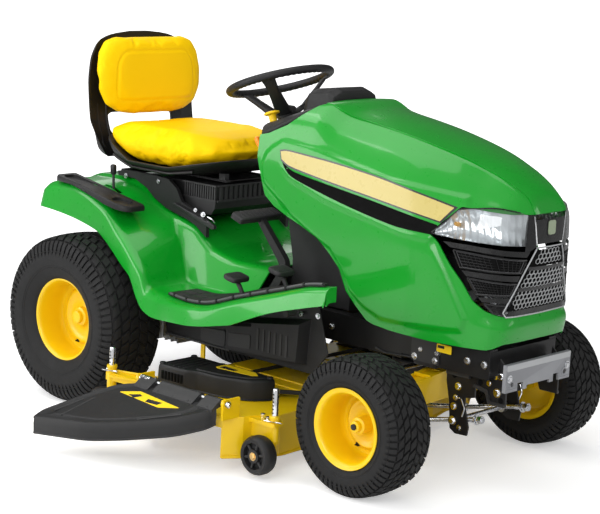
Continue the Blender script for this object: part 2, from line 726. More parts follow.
def shell_from_grids(name, outer, inner):
    """Closed skin between two hood grids of the same size."""
    rows, count, _ = outer.shape
    verts = [*outer[:-1].reshape(-1, 3), outer[-1, 0]]
    half = len(verts)
    verts += [*inner[:-1].reshape(-1, 3), inner[-1, 0]]
    faces = []
    for base, turn in ((0, 1), (half, -1)):
        for i in range(rows - 2):
            for j in range(count):
                a, b = base + i * count + j, base + i * count + (j + 1) % count
                faces.append((a, b, b + count, a + count)[::turn])
        tip, ring = base + (rows - 1) * count, base + (rows - 2) * count
        for j in range(count):
            faces.append((ring + j, ring + (j + 1) % count, tip)[::turn])
    for j in range(count):
        faces.append((half + j, half + (j + 1) % count, (j + 1) % count, j))
    mesh = bpy.data.meshes.new(name)
    mesh.from_pydata(to_metres(verts), [], faces)
    clean_mesh(mesh)
    return new_object(name, mesh)


def hood_snap(points, off=0.0):
    """Moves points onto the hood surface along its normal, then off outward."""
    points = np.array(points, float)
    probe = 0.5
    for _ in range(5):
        x, y, z = points[..., 0], points[..., 1], points[..., 2]
        field = hood_field(x, y, z)
        slope = np.stack([hood_field(x + probe, y, z) - field,
                          hood_field(x, y + probe, z) - field,
                          hood_field(x, y, z + probe) - field], -1) / probe
        length = np.linalg.norm(slope, axis=-1, keepdims=True)
        normal = slope / np.maximum(length, 1e-6)
        distance = field / np.maximum(length[..., 0], 1e-6)
        points = points - normal * np.clip(distance, -40, 40)[..., None]
    return points + normal * off


def skin_on(piece, corners, off, columns, rows, mat=None):
    """Patch on the hood over four corners: top edge first, bottom edge in reverse."""
    a, b, c, d = [np.array(p, float) for p in corners]
    u = np.linspace(0, 1, columns)[None, :, None]
    v = np.linspace(0, 1, rows)[:, None, None]
    grid = hood_snap((a * (1 - u) + b * u) * (1 - v) + (d * (1 - u) + c * u) * v, off)
    piece.add((grid.reshape(-1, 3), grid_faces(columns, rows)), mat)


def rail_on(piece, points, off, radius, mat=None, sides=8, closed=False, steps=6):
    """Thin raised bar that follows the hood through the points."""
    points = [np.array(p, float) for p in points]
    if closed:
        points.append(points[0])
    path = [a + (b - a) * k / steps for a, b in zip(points, points[1:]) for k in range(steps)]
    piece.tube(hood_snap(np.array(path + [points[-1]]), off), radius, sides, mat)


# ------------------------------------------------------------------ hood shell and front panel
# (x, z) outlines of what is cut away behind and below the hood
REAR_CUT = [
    (560, 380), (604, 820), (604, 937.5), (640, 946), (707, 978), (736, 1001), (784, 1041),
    (809, 1051), (811, 1110), (500, 1110), (500, 380)]
LOW_CUT = [
    (500, 60), (1600, 60), (1600, 446), (1508, 446), (1492, 434), (1478, 429), (1319, 429),
    (1168, 435), (1110, 441), (1083, 448), (1040, 482), (999, 520), (968, 582), (930, 616),
    (873, 661), (800, 686), (746, 703), (684, 728), (644, 756), (633, 782), (604, 868),
    (500, 868)]


def panel_outline(gap):
    """(x, z) outline of the front panel, widened by a gap."""
    return [
        (1290 - gap, 739 - gap * 0.3), (1320 - gap * 0.7, 711 - gap * 0.7),
        (1357 - gap, 658 - gap * 0.6), (1398 - gap * 0.7, 612 - gap),
        (1430 - gap * 0.4, 565 - gap), (1465 - gap * 0.4, 540 - gap), (1500, 526 - gap),
        (1580, 520 - gap), (1580, 814 + gap), (1498, 812 + gap), (1367, 821 + gap)]


def lamp_outline(gap):
    """(x, z) outline of a lamp opening, widened by a gap."""
    return [(1290 - gap * 2, 738), (1400, 724 - gap), (1513 + gap, 718 - gap),
            (1513 + gap, 811 + gap * 3), (1367 - gap * 3, 821 + gap * 3)]


hood = shell_from_grids("hood_shell", hood_grid(0.0), hood_grid(4.5))
boolean(hood, [cutter(REAR_CUT), cutter(LOW_CUT), cutter(panel_outline(0.8), radius=6)])
set_materials(hood, GREEN, DARK)
# the inside of the shell is dark
for face in hood.data.polygons:
    centre = face.center * 1000
    out = Vector((max(0.0, centre.x - ORIGIN_X - FAN_X), centre.y - ORIGIN_Y,
                  centre.z - SECTION_Z))
    face.material_index = 1 if face.normal.dot(out) < -0.15 * out.length else 0
sharpen(hood.data, 40)
place(hood, "hood", ("hood",))

# black front panel in the opening
front_panel = shell_from_grids("front_panel", hood_grid(3.0, 14.0, 160, relief=False),
                               hood_grid(7.5, 14.0, 160, relief=False))
boolean(front_panel, [cutter(panel_outline(-1.2), radius=5)], "INTERSECT")


# ------------------------------------------------------------------ hood centre panel, stripes
# raised centre panel, ending in the flat facet above the badge: x, z, half width
CENTRE_STATIONS = np.array([
    (806, 1052, 150), (860, 1043, 147), (920, 1034, 142), (1000, 1021, 136), (1100, 1003, 131),
    (1200, 982, 124), (1300, 957, 113), (1370, 934, 103), (1430, 909, 92), (1475, 886, 82),
    (1505, 870, 75)], float)
COLUMNS = 33


def centre_panel():
    xs = np.concatenate([np.arange(806, 1500, 9.0), [1500.0, 1505.0]])
    stations = pchip(CENTRE_STATIONS[:, 0], CENTRE_STATIONS[:, 1:], xs)
    rows = [np.stack([np.full(COLUMNS, x), np.linspace(-half, half, COLUMNS),
                      np.full(COLUMNS, z)], 1) for x, (z, half) in zip(xs, stations)]
    for t in (0.12, 0.35, 0.6, 0.82, 1.0):
        rows.append(np.array([
            (1506 + (1539 - 1506) * t, y * (72 + 4 * t) / 72, 867 + (815.5 - 867) * t)
            for y in np.linspace(-72, 72, COLUMNS)]))
    verts = [p for off in (2.6, -1.5) for row in rows for p in hood_snap(row, off)]
    faces = grid_faces(COLUMNS, len(rows))
    rim = grid_rim(COLUMNS, len(rows))
    low = COLUMNS * len(rows)
    faces += [(b, a, low + a, low + b) for a, b in zip(rim, rim[1:] + rim[:1])]
    make("hood_centre_panel", (verts, faces), GREEN, "hood", angle=24)


def side_strip(piece, s, top, bottom, off, mat, columns=90, rows=5):
    """Thin skin on the side of the hood between two (x, z) curves."""
    u = np.linspace(0, 1, columns)
    upper = pchip(np.linspace(0, 1, len(top)), top, u)
    lower = pchip(np.linspace(0, 1, len(bottom)), bottom, u)
    verts = []
    for k in range(rows):
        x, z = (upper + (lower - upper) * (k / (rows - 1))).T
        verts += [*np.stack([x, s * hood_side(x, z, off), z], 1)]
    piece.add((verts, grid_faces(columns, rows)), mat)


# top and bottom curves of the stripe's dark border and of its light middle
BORDER = ([(701, 903), (732, 907), (860, 898), (1069, 874), (1230, 845), (1357, 819)],
          [(709, 872), (740, 857), (860, 837), (1069, 808), (1230, 784), (1319, 770)])
STRIPE = ([(706, 899), (733, 902.5), (860, 893.5), (1069, 869.5), (1230, 840.5), (1347, 816.5)],
          [(713, 876), (742, 862), (860, 842), (1069, 812.5), (1230, 788.5), (1315, 775)])

centre_panel()
for s, side in SIDES:
    stripe = Piece(DECAL, DECALDK, DARK)
    side_strip(stripe, s, *BORDER, 0.55, DECALDK)
    side_strip(stripe, s, *STRIPE, 1.0, DECAL)
    side_strip(stripe, s, SLOT_TOP, SLOT_BOTTOM, 0.9, DARK, 120, 9)
    stripe.build(f"hood_stripe_{side}", "hood", "gloss_black")

# ------------------------------------------------------------------ grille
GRILLE_RIGHT = [(1536, -60, 716), (1534, -70, 699), (1520, -108, 620), (1502, -150, 537),
                (1505, -140, 524)]
MESH_BANDS = [(713, 667), (657, 606), (597, 541)]     # top and bottom z
CELL_PITCH, CELL_ROW = 17.0, 13


def grille_half(z):
    return float(np.interp(z, [524, 537, 620, 699, 716], [146, 143, 102, 64, 55]))


def honeycomb(cells, top, bottom):
    for row, z in enumerate(np.arange(top - 6, bottom + 4, -CELL_ROW)):
        half = grille_half(z) - 3
        first = -math.floor(half / CELL_PITCH) * CELL_PITCH - (CELL_PITCH / 2 if row % 2 else 0)
        for y in np.arange(first, half, CELL_PITCH):
            if abs(y) + 8 < half + 2:
                hexagon = [(1530, y + 8.6 * sin(radians(60 * q)), z + 7.6 * cos(radians(60 * q)))
                           for q in range(6)]
                rail_on(cells, hexagon, 2.4, 1.25, sides=5, closed=True, steps=1)


cells, backing, grille = Piece(MESHGREY), Piece(DARK, GLOSS), Piece(PALE, GLOSS)
rail_on(grille, GRILLE_RIGHT + [(1508, 0, 522)] + flip(-1, GRILLE_RIGHT[::-1]), 1.2, 2.2, steps=8)
rail_on(grille, [(1536, -60, 719), (1536, 60, 719)], 1.2, 2.2, steps=14)
for s in (-1, 1):
    rail_on(grille, [(1532, s * 74, 808), (1535, s * 61, 726)], 0.8, 1.3, sides=6, steps=10)
    skin_on(grille, flip(s, [(1524, 90, 812), (1534, 74, 812), (1536, 60, 722),
                             (1524, 98, 700)]), -0.4, 10, 10, GLOSS)
for top, bottom in MESH_BANDS:
    wide, narrow = grille_half(bottom), grille_half(top)
    skin_on(backing, [(1530, -narrow, top), (1530, narrow, top), (1520, wide, bottom),
                      (1520, -wide, bottom)], 0.5, 24, 6)
    honeycomb(cells, top, bottom)
    # bar below the band
    z = bottom - 5
    half = grille_half(z)
    if bottom > 560:
        skin_on(grille, [(1522, -half, z + 5.5), (1522, half, z + 5.5), (1522, half, z - 5.5),
                         (1522, -half, z - 5.5)], 3.6, 24, 4, GLOSS)
skin_on(backing, [(1532, -70, 798), (1532, 70, 798), (1532, 58, 729), (1532, -58, 729)],
        0.8, 16, 8, GLOSS)
skin_on(backing, [(1520, -140, 541), (1520, 140, 541), (1508, 138, 525), (1508, -138, 525)],
        0.9, 24, 4, GLOSS)
cells.build("grille_mesh", "hood", "gloss_black")
backing.build("grille_backing", "hood", "gloss_black")

# corners of the mesh openings beside the grille and of the bars above them, right side
OPENINGS = [
    [(1367, -215, 701), (1527, -89, 684), (1521, -103, 649), (1391, -210, 655)],
    [(1414, -204, 628), (1516, -113, 617), (1512, -126, 586), (1441, -195, 585)],
    [(1463, -186, 561), (1507, -137, 556), (1503, -146, 530), (1484, -171, 536)]]
OPENING_BARS = [
    [(1334, -221, 722), (1531, -81, 708), (1527, -90, 693), (1358, -217, 708)],
    [(1396, -210, 648), (1522, -106, 641), (1518, -112, 624), (1410, -206, 634)],
    [(1447, -194, 578), (1510, -130, 578), (1508, -135, 564), (1458, -189, 566)]]

openings = Piece(DARK, GLOSS, TRIM)
for s in (-1, 1):
    for right in OPENINGS:
        corners = flip(-s, right)
        skin_on(openings, corners, -1.4, 18, 6)
        points = [np.array(p, float) for p in corners]
        middle = sum(points) / 4
        a, b, c, d = inner = [middle + (p - middle) * 0.90 for p in points]
        rail_on(openings, corners, -1.0, 2.6, GLOSS, sides=6, closed=True, steps=8)
        rail_on(openings, inner, -0.2, 1.0, TRIM, sides=5, closed=True, steps=8)
        # fine mesh lines
        for k in range(1, 14):
            t = k / 14
            rail_on(openings, [a + (b - a) * t, d + (c - d) * min(1, t + 0.05)], -0.8, 0.8,
                    GLOSS, sides=4, steps=2)
        for k in range(1, 5):
            t = k / 5
            rail_on(openings, [a + (d - a) * t, b + (c - b) * t], -0.8, 0.8, GLOSS, sides=4)
    for right in OPENING_BARS:
        skin_on(openings, flip(-s, right), 0.4, 18, 4, GLOSS)
openings.build("front_panel_openings", "hood", "gloss_black")
grille.build("grille_frame", "hood", "gloss_black")

# plain badge
badge = Piece(BADGE, GLOSS)
badge_outline = rounded([(-20, -24), (20, -24), (20, 24), (-20, 24)], 11, 5)
for off, factor, mat in ((2.0, 1.0, GLOSS), (3.4, 0.84, BADGE)):
    ring = np.array([(1534, y * factor, 773 + z * factor) for y, z in badge_outline])
    badge.loft([hood_snap(ring, 0.2), hood_snap(ring, off)], mat)
badge.build("badge_plain", "hood", "gloss_black")

# ------------------------------------------------------------------ headlamps
boolean(front_panel, [cutter(lamp_outline(0.6), start=-320, end=-85),
                      cutter(lamp_outline(0.6), start=85, end=320)])
set_materials(front_panel, GLOSS)
sharpen(front_panel.data, 40)
place(front_panel, "hood", ("grille",))

# upper and lower edge of the right lamp, from its rear tip to its inner end
LAMP_TOP = [(1296, -228, 742), (1330, -214, 775), (1367, -188, 815), (1420, -160, 814),
            (1470, -125, 812), (1512, -84, 809)]
LAMP_BOTTOM = [(1300, -228, 738), (1345, -218, 735), (1395, -203, 731), (1450, -172, 728),
               (1495, -135, 726), (1522, -86, 724)]
LAMP_COLUMNS, LAMP_ROWS = 110, 10


def headlamp(s, side):
    """Clear cover over a ribbed reflector and a bulb."""
    u, v = np.linspace(0, 1, LAMP_COLUMNS), np.linspace(0, 1, LAMP_ROWS)
    upper, lower = [pchip(np.linspace(0, 1, 6), flip(-s, edge), u)
                    for edge in (LAMP_TOP, LAMP_BOTTOM)]
    down = v[:, None, None]
    grid = upper[None] * (1 - down) + lower[None] * down
    cover = hood_snap(grid, -0.8)
    make(f"headlamp_cover_{side}", (cover.reshape(-1, 3), grid_faces(LAMP_COLUMNS, LAMP_ROWS)),
         CLEAR, "hood")
    depth = (17 * np.sin(pi * v)[:, None] ** 0.6
             * np.sin(pi * np.clip(u, 0.02, 0.98))[None, :] ** 0.5)
    ribs = 1.6 * np.abs(np.sin(u * pi * 15))[None, :]
    base = hood_snap(grid, 0.0)
    normal = hood_snap(grid, 1.0) - base
    reflector = base - normal * (4.2 + depth + ribs)[..., None]
    lamp = Piece(REFLECTOR, GLOSS, AMBER)
    lamp.add((reflector.reshape(-1, 3), grid_faces(LAMP_COLUMNS, LAMP_ROWS)))
    # rim between cover and reflector
    for row in (0, -1):
        lamp.add(([*cover[row], *reflector[row]], grid_faces(LAMP_COLUMNS, 2)), GLOSS)
    for column in (0, -1):
        lamp.add(([*cover[:, column], *reflector[:, column]], grid_faces(LAMP_ROWS, 2)), GLOSS)
    lamp.lathe([(0, -9), (6, -8), (7.5, -2), (7, 5), (4, 9), (0, 10)], 16,
               base[4, 36] - normal[4, 36] * 9, "X", AMBER)
    rail_on(lamp, upper[::10], 0.2, 1.6, GLOSS, sides=6, steps=2)
    lamp.build(f"headlamp_{side}_unit", "hood", "lamp_lens", replaces=(f"headlamp_{side}",))


for s, side in SIDES:
    headlamp(s, side)


# ------------------------------------------------------------------ wheels
def tyre(end, side, centre, width, bead, mid_count, edge_count, groove):
    """Turf tyre: carcass with a sidewall, rows of blocks and shoulder lugs."""
    radius, half = centre[2], width / 2
    wall = radius - bead
    # (radius, y) from the outer bead to the crown
    section = np.array([
        (bead + 0.5, half * 0.66), (bead + 6, half * 0.76), (bead + 10, half * 0.80),
        (bead + wall * 0.22, half * 0.90), (bead + wall * 0.42, half * 0.975),
        (bead + wall * 0.60, half * 0.985), (bead + wall * 0.76, half * 0.95),
        (bead + wall * 0.88, half * 0.86), (bead + wall * 0.955, half * 0.72),
        (radius - groove * 0.5, half * 0.5), (radius - 0.6, half * 0.25), (radius, 0)], float)
    length = np.concatenate([[0], np.cumsum(np.linalg.norm(np.diff(section, axis=0), axis=1))])
    half_r, half_y = pchip(length, section, np.linspace(0, length[-1], 44)).T
    full_r = np.concatenate([half_r, half_r[-2::-1]])
    full_y = np.concatenate([half_y, -half_y[-2::-1]])
    # arc length from the crown, and the outward normal
    arc = np.concatenate([[0], np.cumsum(np.hypot(np.diff(full_r), np.diff(full_y)))])
    arc = arc - arc[43]
    normal_y, normal_r = np.gradient(full_r), -np.gradient(full_y)
    size = np.hypot(normal_y, normal_r)
    normal_r, normal_y = normal_r / size, normal_y / size
    # the carcass is one groove depth below the block tops in the tread zone
    tread = half * 1.22
    drop = groove * (1 - smooth_step(tread * 0.94, tread * 1.10, np.abs(arc)))
    outer = list(zip(full_r - normal_r * drop, full_y - normal_y * drop))
    inner = [(bead + 0.5, -half * 0.52), (bead + 14, -half * 0.56), (radius - 22, -half * 0.5),
             (radius - 22, half * 0.5), (bead + 14, half * 0.56), (bead + 0.5, half * 0.52)]
    piece = Piece(RUBBER)
    piece.lathe(outer + inner + [outer[0]], 120, centre, "Y")
    # fine ribs on the sidewalls
    for s in (-1, 1):
        for share, height in ((0.30, 0.9), (0.34, 0.7), (0.66, 0.8)):
            r = bead + wall * share
            y = float(np.interp(r, half_r[:40], half_y[:40]))
            piece.lathe([(r - 1.6, s * (y - 1.5)), (r, s * (y + height)),
                         (r + 1.6, s * (y - 1.5))], 120, centre, "Y")

    def point(angle, along, up):
        r = np.interp(along, arc, full_r) + np.interp(along, arc, normal_r) * up
        y = np.interp(along, arc, full_y) + np.interp(along, arc, normal_y) * up
        return (centre[0] + r * sin(angle), centre[1] + y, centre[2] + r * cos(angle))

    flare = 0.9 / radius
    foot = -groove - 1.0

    def ring(angle, along, half_angle, top_angle, top):
        low = half_angle + flare
        return [point(angle - low, along, foot), point(angle + low, along, foot),
                point(angle + top_angle, along, top), point(angle - top_angle, along, top)]

    def block(line, steps=3):
        """Raised bar with sloped walls; line holds (angle, arc length, half angle)."""
        line = np.array(line, float)
        t = np.linspace(0, 1, len(line))
        stations = [[float(np.interp(u, t, line[:, k])) for k in range(3)]
                    for u in np.linspace(0, 1, steps + 1)]
        slope = 0.8 if line[-1, 1] > line[0, 1] else -0.8

        def end_ring(station, shift):
            angle, along, half_angle = station
            return ring(angle, along + shift, half_angle, half_angle + flare, foot + 0.1)
        piece.loft([end_ring(stations[0], -slope)]
                   + [ring(angle, along, h, h, -0.1) for angle, along, h in stations]
                   + [end_ring(stations[-1], slope)])

    for s in (-1, 1):
        across = s * tread
        h = pi / mid_count
        for i in range(mid_count):
            # centre, middle and outer rows, slanted like a chevron
            turn = 2 * pi * i / mid_count
            a = turn + (h if s > 0 else 0.0)
            block([(a, across * 0.03, h * 0.70), (a + h * 0.95, across * 0.24, h * 0.70)])
            block([(a + h * 0.2, across * 0.285, h * 0.74),
                   (a + h * 1.1, across * 0.47, h * 0.72)])
            block([(a - h * 0.5, across * 0.515, h * 0.76),
                   (a + h * 0.3, across * 0.685, h * 0.72)])
        h = pi / edge_count
        for i in range(edge_count):
            a = 2 * pi * i / edge_count
            block([(a, across * 0.73, h * 0.70), (a + h * 0.25, across * 0.90, h * 0.66),
                   (a + h * 0.35, across * 1.06, h * 0.52),
                   (a + h * 0.35, across * 1.16, h * 0.42)], steps=5)
    piece.build(f"{end}_tyre_{side}_tread", f"{end}_wheel_{side}", "tyre_rubber", angle=30,
                replaces=(f"{end}_tyre_{side}",))


def rim(end, side, s, centre, bead, flange, edge, disc, hub, valve_angle, valve_share, cap=33):
    """Pressed wheel: rolled edges, drop centre, dished disc and a hub with its cap.

    bead, flange and hub are radii; edge, disc and cap are distances out from the middle.
    """
    profile = [
        (0, cap + 2.0), (hub * 0.40, cap + 1.6), (hub * 0.52, cap), (hub * 0.55, cap - 3),
        (hub * 0.56, cap - 12), (hub * 0.74, cap - 13), (hub * 0.82, cap - 15),
        (hub * 0.84, disc + 12), (hub, disc + 8), (hub * 1.35, disc + 7),
        (bead * 0.50, disc + 7.5), (bead * 0.56, disc + 9.5), (bead * 0.60, disc + 13),
        (bead * 0.66, disc + 14), (bead * 0.72, disc + 10), (bead * 0.76, disc + 4),
        (bead * 0.80, disc + 3), (bead - 13, disc + 5), (bead - 8.5, disc + 12),
        (bead - 7.5, disc + 22), (bead - 7, (disc + edge) / 2), (bead - 6.5, edge - 16),
        (bead - 3, edge - 9), (bead - 0.5, edge - 5), (bead + 3, edge - 3.4),
        (flange - 4, edge - 2.6), (flange - 1.6, edge - 1.2), (flange - 0.4, edge - 2.6),
        (flange - 0.6, edge - 4.4), (flange - 2.4, edge - 5.2), (bead + 4, edge - 6.5),
        (bead - 1.5, edge - 12), (bead - 4.5, edge - 18), (bead - 5, disc),
        (bead - 5, -edge + 18), (bead - 1.5, -edge + 12), (bead + 4, -edge + 6.5),
        (flange - 2.4, -edge + 5.2), (flange - 0.6, -edge + 4.4), (flange - 0.4, -edge + 2.6),
        (flange - 1.6, -edge + 1.2), (flange - 4, -edge + 2.6), (bead + 3, -edge + 3.4),
        (bead - 3, -edge + 9), (bead - 7, -edge + 18), (bead - 8, disc - 12),
        (bead - 14, disc - 2), (bead * 0.66, disc + 5), (hub * 1.3, disc - 1),
        (hub * 0.9, disc - 4), (hub * 0.86, disc - 24), (0, disc - 24)]
    piece = Piece(YELLOW, RUBBER)
    piece.lathe([(r, y * s) for r, y in profile], 112, centre, "Y")
    # valve hole with its rubber
    r, angle = bead * valve_share, radians(valve_angle)
    x, y, z = (centre[0] + r * sin(angle), centre[1] + (disc + 10) * s,
               centre[2] + r * cos(angle))
    piece.lathe([(0, 4.0 * s), (4.4, 3.6 * s), (6.6, 2.6 * s), (6.6, -6 * s)], 24, (x, y, z),
                "Y", RUBBER)
    piece.tube([(x, y + 2 * s, z), (x, y + 12 * s, z)], [3.2, 2.6], 12, RUBBER)
    piece.build(f"{end}_wheel_{side}_disc", f"{end}_wheel_{side}", "yellow_paint", angle=38,
                replaces=(f"{end}_rim_{side}",))


for s, side in SIDES:
    rear = (0, s * REAR_HUB_Y, REAR_HUB_Z)
    front = (WHEELBASE, s * FRONT_HUB_Y, FRONT_HUB_Z)
    tyre("rear", side, rear, width=238, bead=128, mid_count=46, edge_count=74, groove=6.5)
    tyre("front", side, front, width=165, bead=104, mid_count=38, edge_count=60, groove=5.5)
    rim("front", side, s, front, bead=104, flange=117.5, edge=75, disc=-34, hub=30,
        valve_angle=205, valve_share=0.72)
    rim("rear", side, s, rear, bead=128, flange=142, edge=93, disc=-10, hub=38,
        valve_angle=195, valve_share=0.70)
    shaft = Piece(STEEL)
    shaft.tube([(0, s * (REAR_HUB_Y + 6), REAR_HUB_Z), (0, s * 200, REAR_HUB_Z)], 17, 24)
    shaft.build(f"rear_axle_shaft_{side}", f"rear_wheel_{side}", "bare_steel")

# ------------------------------------------------------------------ fender deck
# sections: x, centre z, then (y, z) of four points from the tunnel edge to the outer lip
FENDER = np.array([
    [-250, 690, 190, 684, 345, 684, 372, 668, 388, 607],
    [-180, 712, 190, 702, 365, 698, 385, 684, 390, 604],
    [-85, 716, 190, 704, 370, 702, 390, 690, 393, 596],
    [0, 716, 190, 700, 372, 690, 395, 676, 397, 583],
    [61, 690, 196, 682, 376, 668, 399, 654, 400, 569],
    [100, 662, 200, 655, 382, 648, 402, 634, 406, 552],
    [159, 636, 205, 628, 392, 598, 408, 584, 415, 517],
    [210, 624, 212, 610, 398, 562, 416, 548, 422, 483],
    [256, 614, 220, 570, 405, 525, 423, 512, 430, 457],
    [305, 598, 236, 480, 410, 482, 430, 470, 440, 393],
    [345, 570, 252, 432, 415, 434, 440, 420, 450, 366],
    [400, 540, 260, 424, 425, 428, 450, 416, 462, 356],
    [505, 523, 260, 424, 450, 428, 478, 420, 484, 364],
    [620, 525, 260, 448, 470, 436, 490, 426, 500, 376],
    [780, 545, 260, 498, 470, 484, 490, 474, 500, 409]], float)
# foot boards ahead of the fender: x, inner z, outer z, shoulder z, lip z
FOOT_BOARD = np.array([[776, 497, 483, 473, 408], [940, 530, 534, 524, 476],
                       [1060, 560, 570, 560, 512], [1138, 578, 582, 570, 533]], float)
BOARD_X = 776         # the foot board table takes over here
BOARD_END = 1138
BOARD_OUTER_Y = 470


def fender_section(x):
    """Half section (y, z) with rounded corners."""
    centre_z, *points = row_at(FENDER, x)
    points = np.reshape(points, (4, 2))
    return fillet([(0.0, centre_z), (min(200.0, points[0][0] - 18), centre_z), *points],
                  [22, 16, 34, 15])


def board_section(x):
    """Section (y, z) of one foot board with rounded corners."""
    if x <= BOARD_X:
        _, _, inner_z, *outer = row_at(FENDER, x)
        outer = np.reshape(outer, (3, 2))
    else:
        inner_z, outer_z, shoulder_z, lip_z = row_at(FOOT_BOARD, x)
        t = smooth_step(1060, BOARD_END, x)
        outer = [(BOARD_OUTER_Y, outer_z), (490 - 6 * t, shoulder_z), (500 - 8 * t, lip_z)]
    return fillet([(258.0, inner_z - 45), (258.0, inner_z), *outer], [6, 26, 13])


def fender_ring(x):
    half = fender_section(x)
    ring = [(x, -y, z) for y, z in half[::-1]] + [(x, y, z) for y, z in half[1:]]
    if x < -225:
        # the rear end is rolled down and in
        roll = sin((x + 250) / 25.0 * pi / 2)
        ring = [(x, y * (0.985 + 0.015 * roll),
                 z - (1 - roll) * 5 * (1 if abs(y) < 370 else 0.3)) for x, y, z in ring]
    return ring


def thick_skin(name, rows):
    """Green sheet 4 mm thick under a grid of points."""
    obj = make(name, ([p for row in rows for p in row], grid_faces(len(rows[0]), len(rows))),
               GREEN, smooth=False)
    if sum(face.normal.z * face.area for face in obj.data.polygons) < 0:
        obj.data.flip_normals()
    modify(obj, "thick", "SOLIDIFY", thickness=0.004, offset=-1.0)
    bake(obj)
    set_materials(obj, GREEN)
    return obj


def slot_cutter(x0, x1, y0, y1, z0, z1):
    outline = rounded([(x0, y0), (x1, y0), (x1, y1), (x0, y1)], min(x1 - x0, y1 - y0) * 0.4)
    return cutter(outline, "XY", z0, z1)


fender_rows = [fender_ring(x) for x in [-250, -247, -240, -230, *range(-220, 655, 9), 655]]
fender = thick_skin("fender_body", fender_rows)
fender_parts = [fender]
for s in (-1, 1):
    board = thick_skin(f"fender_leg_{s}", [[(x, s * y, z) for y, z in board_section(x)]
                                           for x in [*range(652, 1136, 9), BOARD_END]])
    # front lip that closes the end of the board
    end = board_section(BOARD_END)
    lip = [(s * y, z) for y, z in end] + [(s * y, z - (44 if y < 480 else 6))
                                          for y, z in end[::-1]]
    tip = make(f"fender_tip_{s}",
               loft_mesh([[(x, y, z) for y, z in lip] for x in (BOARD_END - 4, BOARD_END)]),
               GREEN)
    if s < 0:
        # slots for the pedal stems
        boolean(board, [slot_cutter(728, 806, -437, -413, 400, 620),
                        slot_cutter(858, 936, -388, -362, 400, 640)])
    # the front inner corner is cut back
    for part in (board, tip):
        boolean(part, [cutter(flip(s, [(880, 225), (915, 383), (1138, 440), (1160, 446),
                                       (1160, 225)]), "XY", 380, 640)])
    fender_parts += [board, tip]
rear_edge = fender_rows[0]
fender_back = make("fender_back", (
    [(-250, y, z) for _, y, z in rear_edge]
    + [(-250, y * 0.998, min(z - 1, 609)) for _, y, z in rear_edge],
    grid_faces(len(rear_edge), 2)), GREEN, smooth=False)
modify(fender_back, "t", "SOLIDIFY", thickness=0.0035, offset=0)
bake(fender_back)
set_materials(fender_back, GREEN)
fender_parts.append(fender_back)
# holes for the fuel neck and the lift lever
boolean(fender, [cutter_from(tube_mesh([(-120, 262, 640), (-120, 262, 780)], 27, 32)),
                 slot_cutter(-34, 44, -294, -276, 640, 760)])
bpy.ops.object.select_all(action="DESELECT")
for part in fender_parts:
    part.select_set(True)
bpy.context.view_layer.objects.active = fender
bpy.ops.object.join()
fender.name = "fender_moulding"
sharpen(fender.data, 36)
place(fender, "chassis", ("fender_deck",))

# ------------------------------------------------------------------ seat pan and back shell
# left half of the seat's plan, front to rear
SEAT_PLAN = [(362, 0), (356, 90), (332, 160), (280, 204), (200, 222), (90, 224), (-20, 220),
             (-90, 208), (-124, 180), (-134, 110), (-136, 0)]
SEAT_CENTRE_X = 110
# rings of the pan: scale, z, growth, rise at the rear, rise at the front
PAN_RINGS = [
    (0.45, 757, 0, 12, 8), (0.80, 756, 0, 20, 14), (0.90, 758, 0, 26, 22),
    (0.965, 764, 0, 34, 28), (0.99, 770, 6, 48, 32), (1.0, 777, 11, 60, 34),
    (1.0, 781, 12, 64, 34), (1.0, 783, 10, 64, 34), (0.985, 783, 6, 63, 34),
    (0.95, 780, 2, 60, 33), (0.9, 778, 0, 56, 30), (0.8, 770, 0, 32, 18),
    (0.45, 766, 0, 20, 10)]


def smooth_loop(points, count):
    """Closed Catmull-Rom curve through the points, sampled evenly by length."""
    points = np.array(points, float)
    total = len(points)
    curve = []
    for i in range(total):
        p0, p1, p2, p3 = (points[(i + k) % total] for k in (-1, 0, 1, 2))
        for t in np.linspace(0, 1, 12, endpoint=False):
            curve.append(0.5 * (2 * p1 + (p2 - p0) * t + (2 * p0 - 5 * p1 + 4 * p2 - p3) * t**2
                                + (3 * p1 - p0 - 3 * p2 + p3) * t**3))
    curve = np.array(curve + curve[:1])
    length = np.concatenate([[0], np.cumsum(np.linalg.norm(np.diff(curve, axis=0), axis=1))])
    even = np.linspace(0, length[-1], count, endpoint=False)
    return np.stack([np.interp(even, length, curve[:, k]) for k in (0, 1)], 1)


SEAT_LOOP = smooth_loop(SEAT_PLAN + flip(-1, SEAT_PLAN[-2:0:-1]), 96)


def seat_ring(scale, z, growth, rear_rise, front_rise):
    ring = []
    for x, y in SEAT_LOOP:
        dx = x - SEAT_CENTRE_X
        distance = hypot(dx, y)
        x = SEAT_CENTRE_X + dx * scale + growth * dx / distance
        y = y * scale + growth * y / distance
        ring.append((x, y, z + rear_rise * max(0, (10 - x) / 140)
                     + front_rise * max(0, (x - 200) / 160)))
    return ring


def back_rear_x(z):
    return float(pchip([770, 830, 900, 1040, 1165, 1187],
                       [-176, -190, -207, -219, -228, -226], z))


def back_front_x(z):
    return float(pchip([770, 800, 832, 905, 1040, 1150, 1187],
                       [-150, -128, -142, -173, -189, -202, -212], z))


def back_half(z):
    return float(pchip([768, 785, 805, 850, 900, 1010, 1090, 1135, 1160, 1178, 1187],
                       [168, 196, 212, 226, 236, 237, 225, 203, 176, 122, 40], z))


def back_shell_ring(z):
    half, rear, front = back_half(z), back_rear_x(z), back_front_x(z)
    wrap = 16 * smooth_step(780, 860, z) * (1 - smooth_step(1120, 1187, z))
    outer, inner = [], []
    for i in range(25):
        u = -1 + 2 * i / 24
        u = sin(u * pi / 2) * 0.35 + u * 0.65
        edge = abs(u) ** 7
        outer.append((rear + (front - rear) * 0.9 * edge * 0.8 + 0.6, u * half, z))
        inner.append((max(rear + 7.5, min(front, rear + 11)) + wrap * edge * 0.9,
                      u * (half - 4), z))
    return outer + inner[::-1]


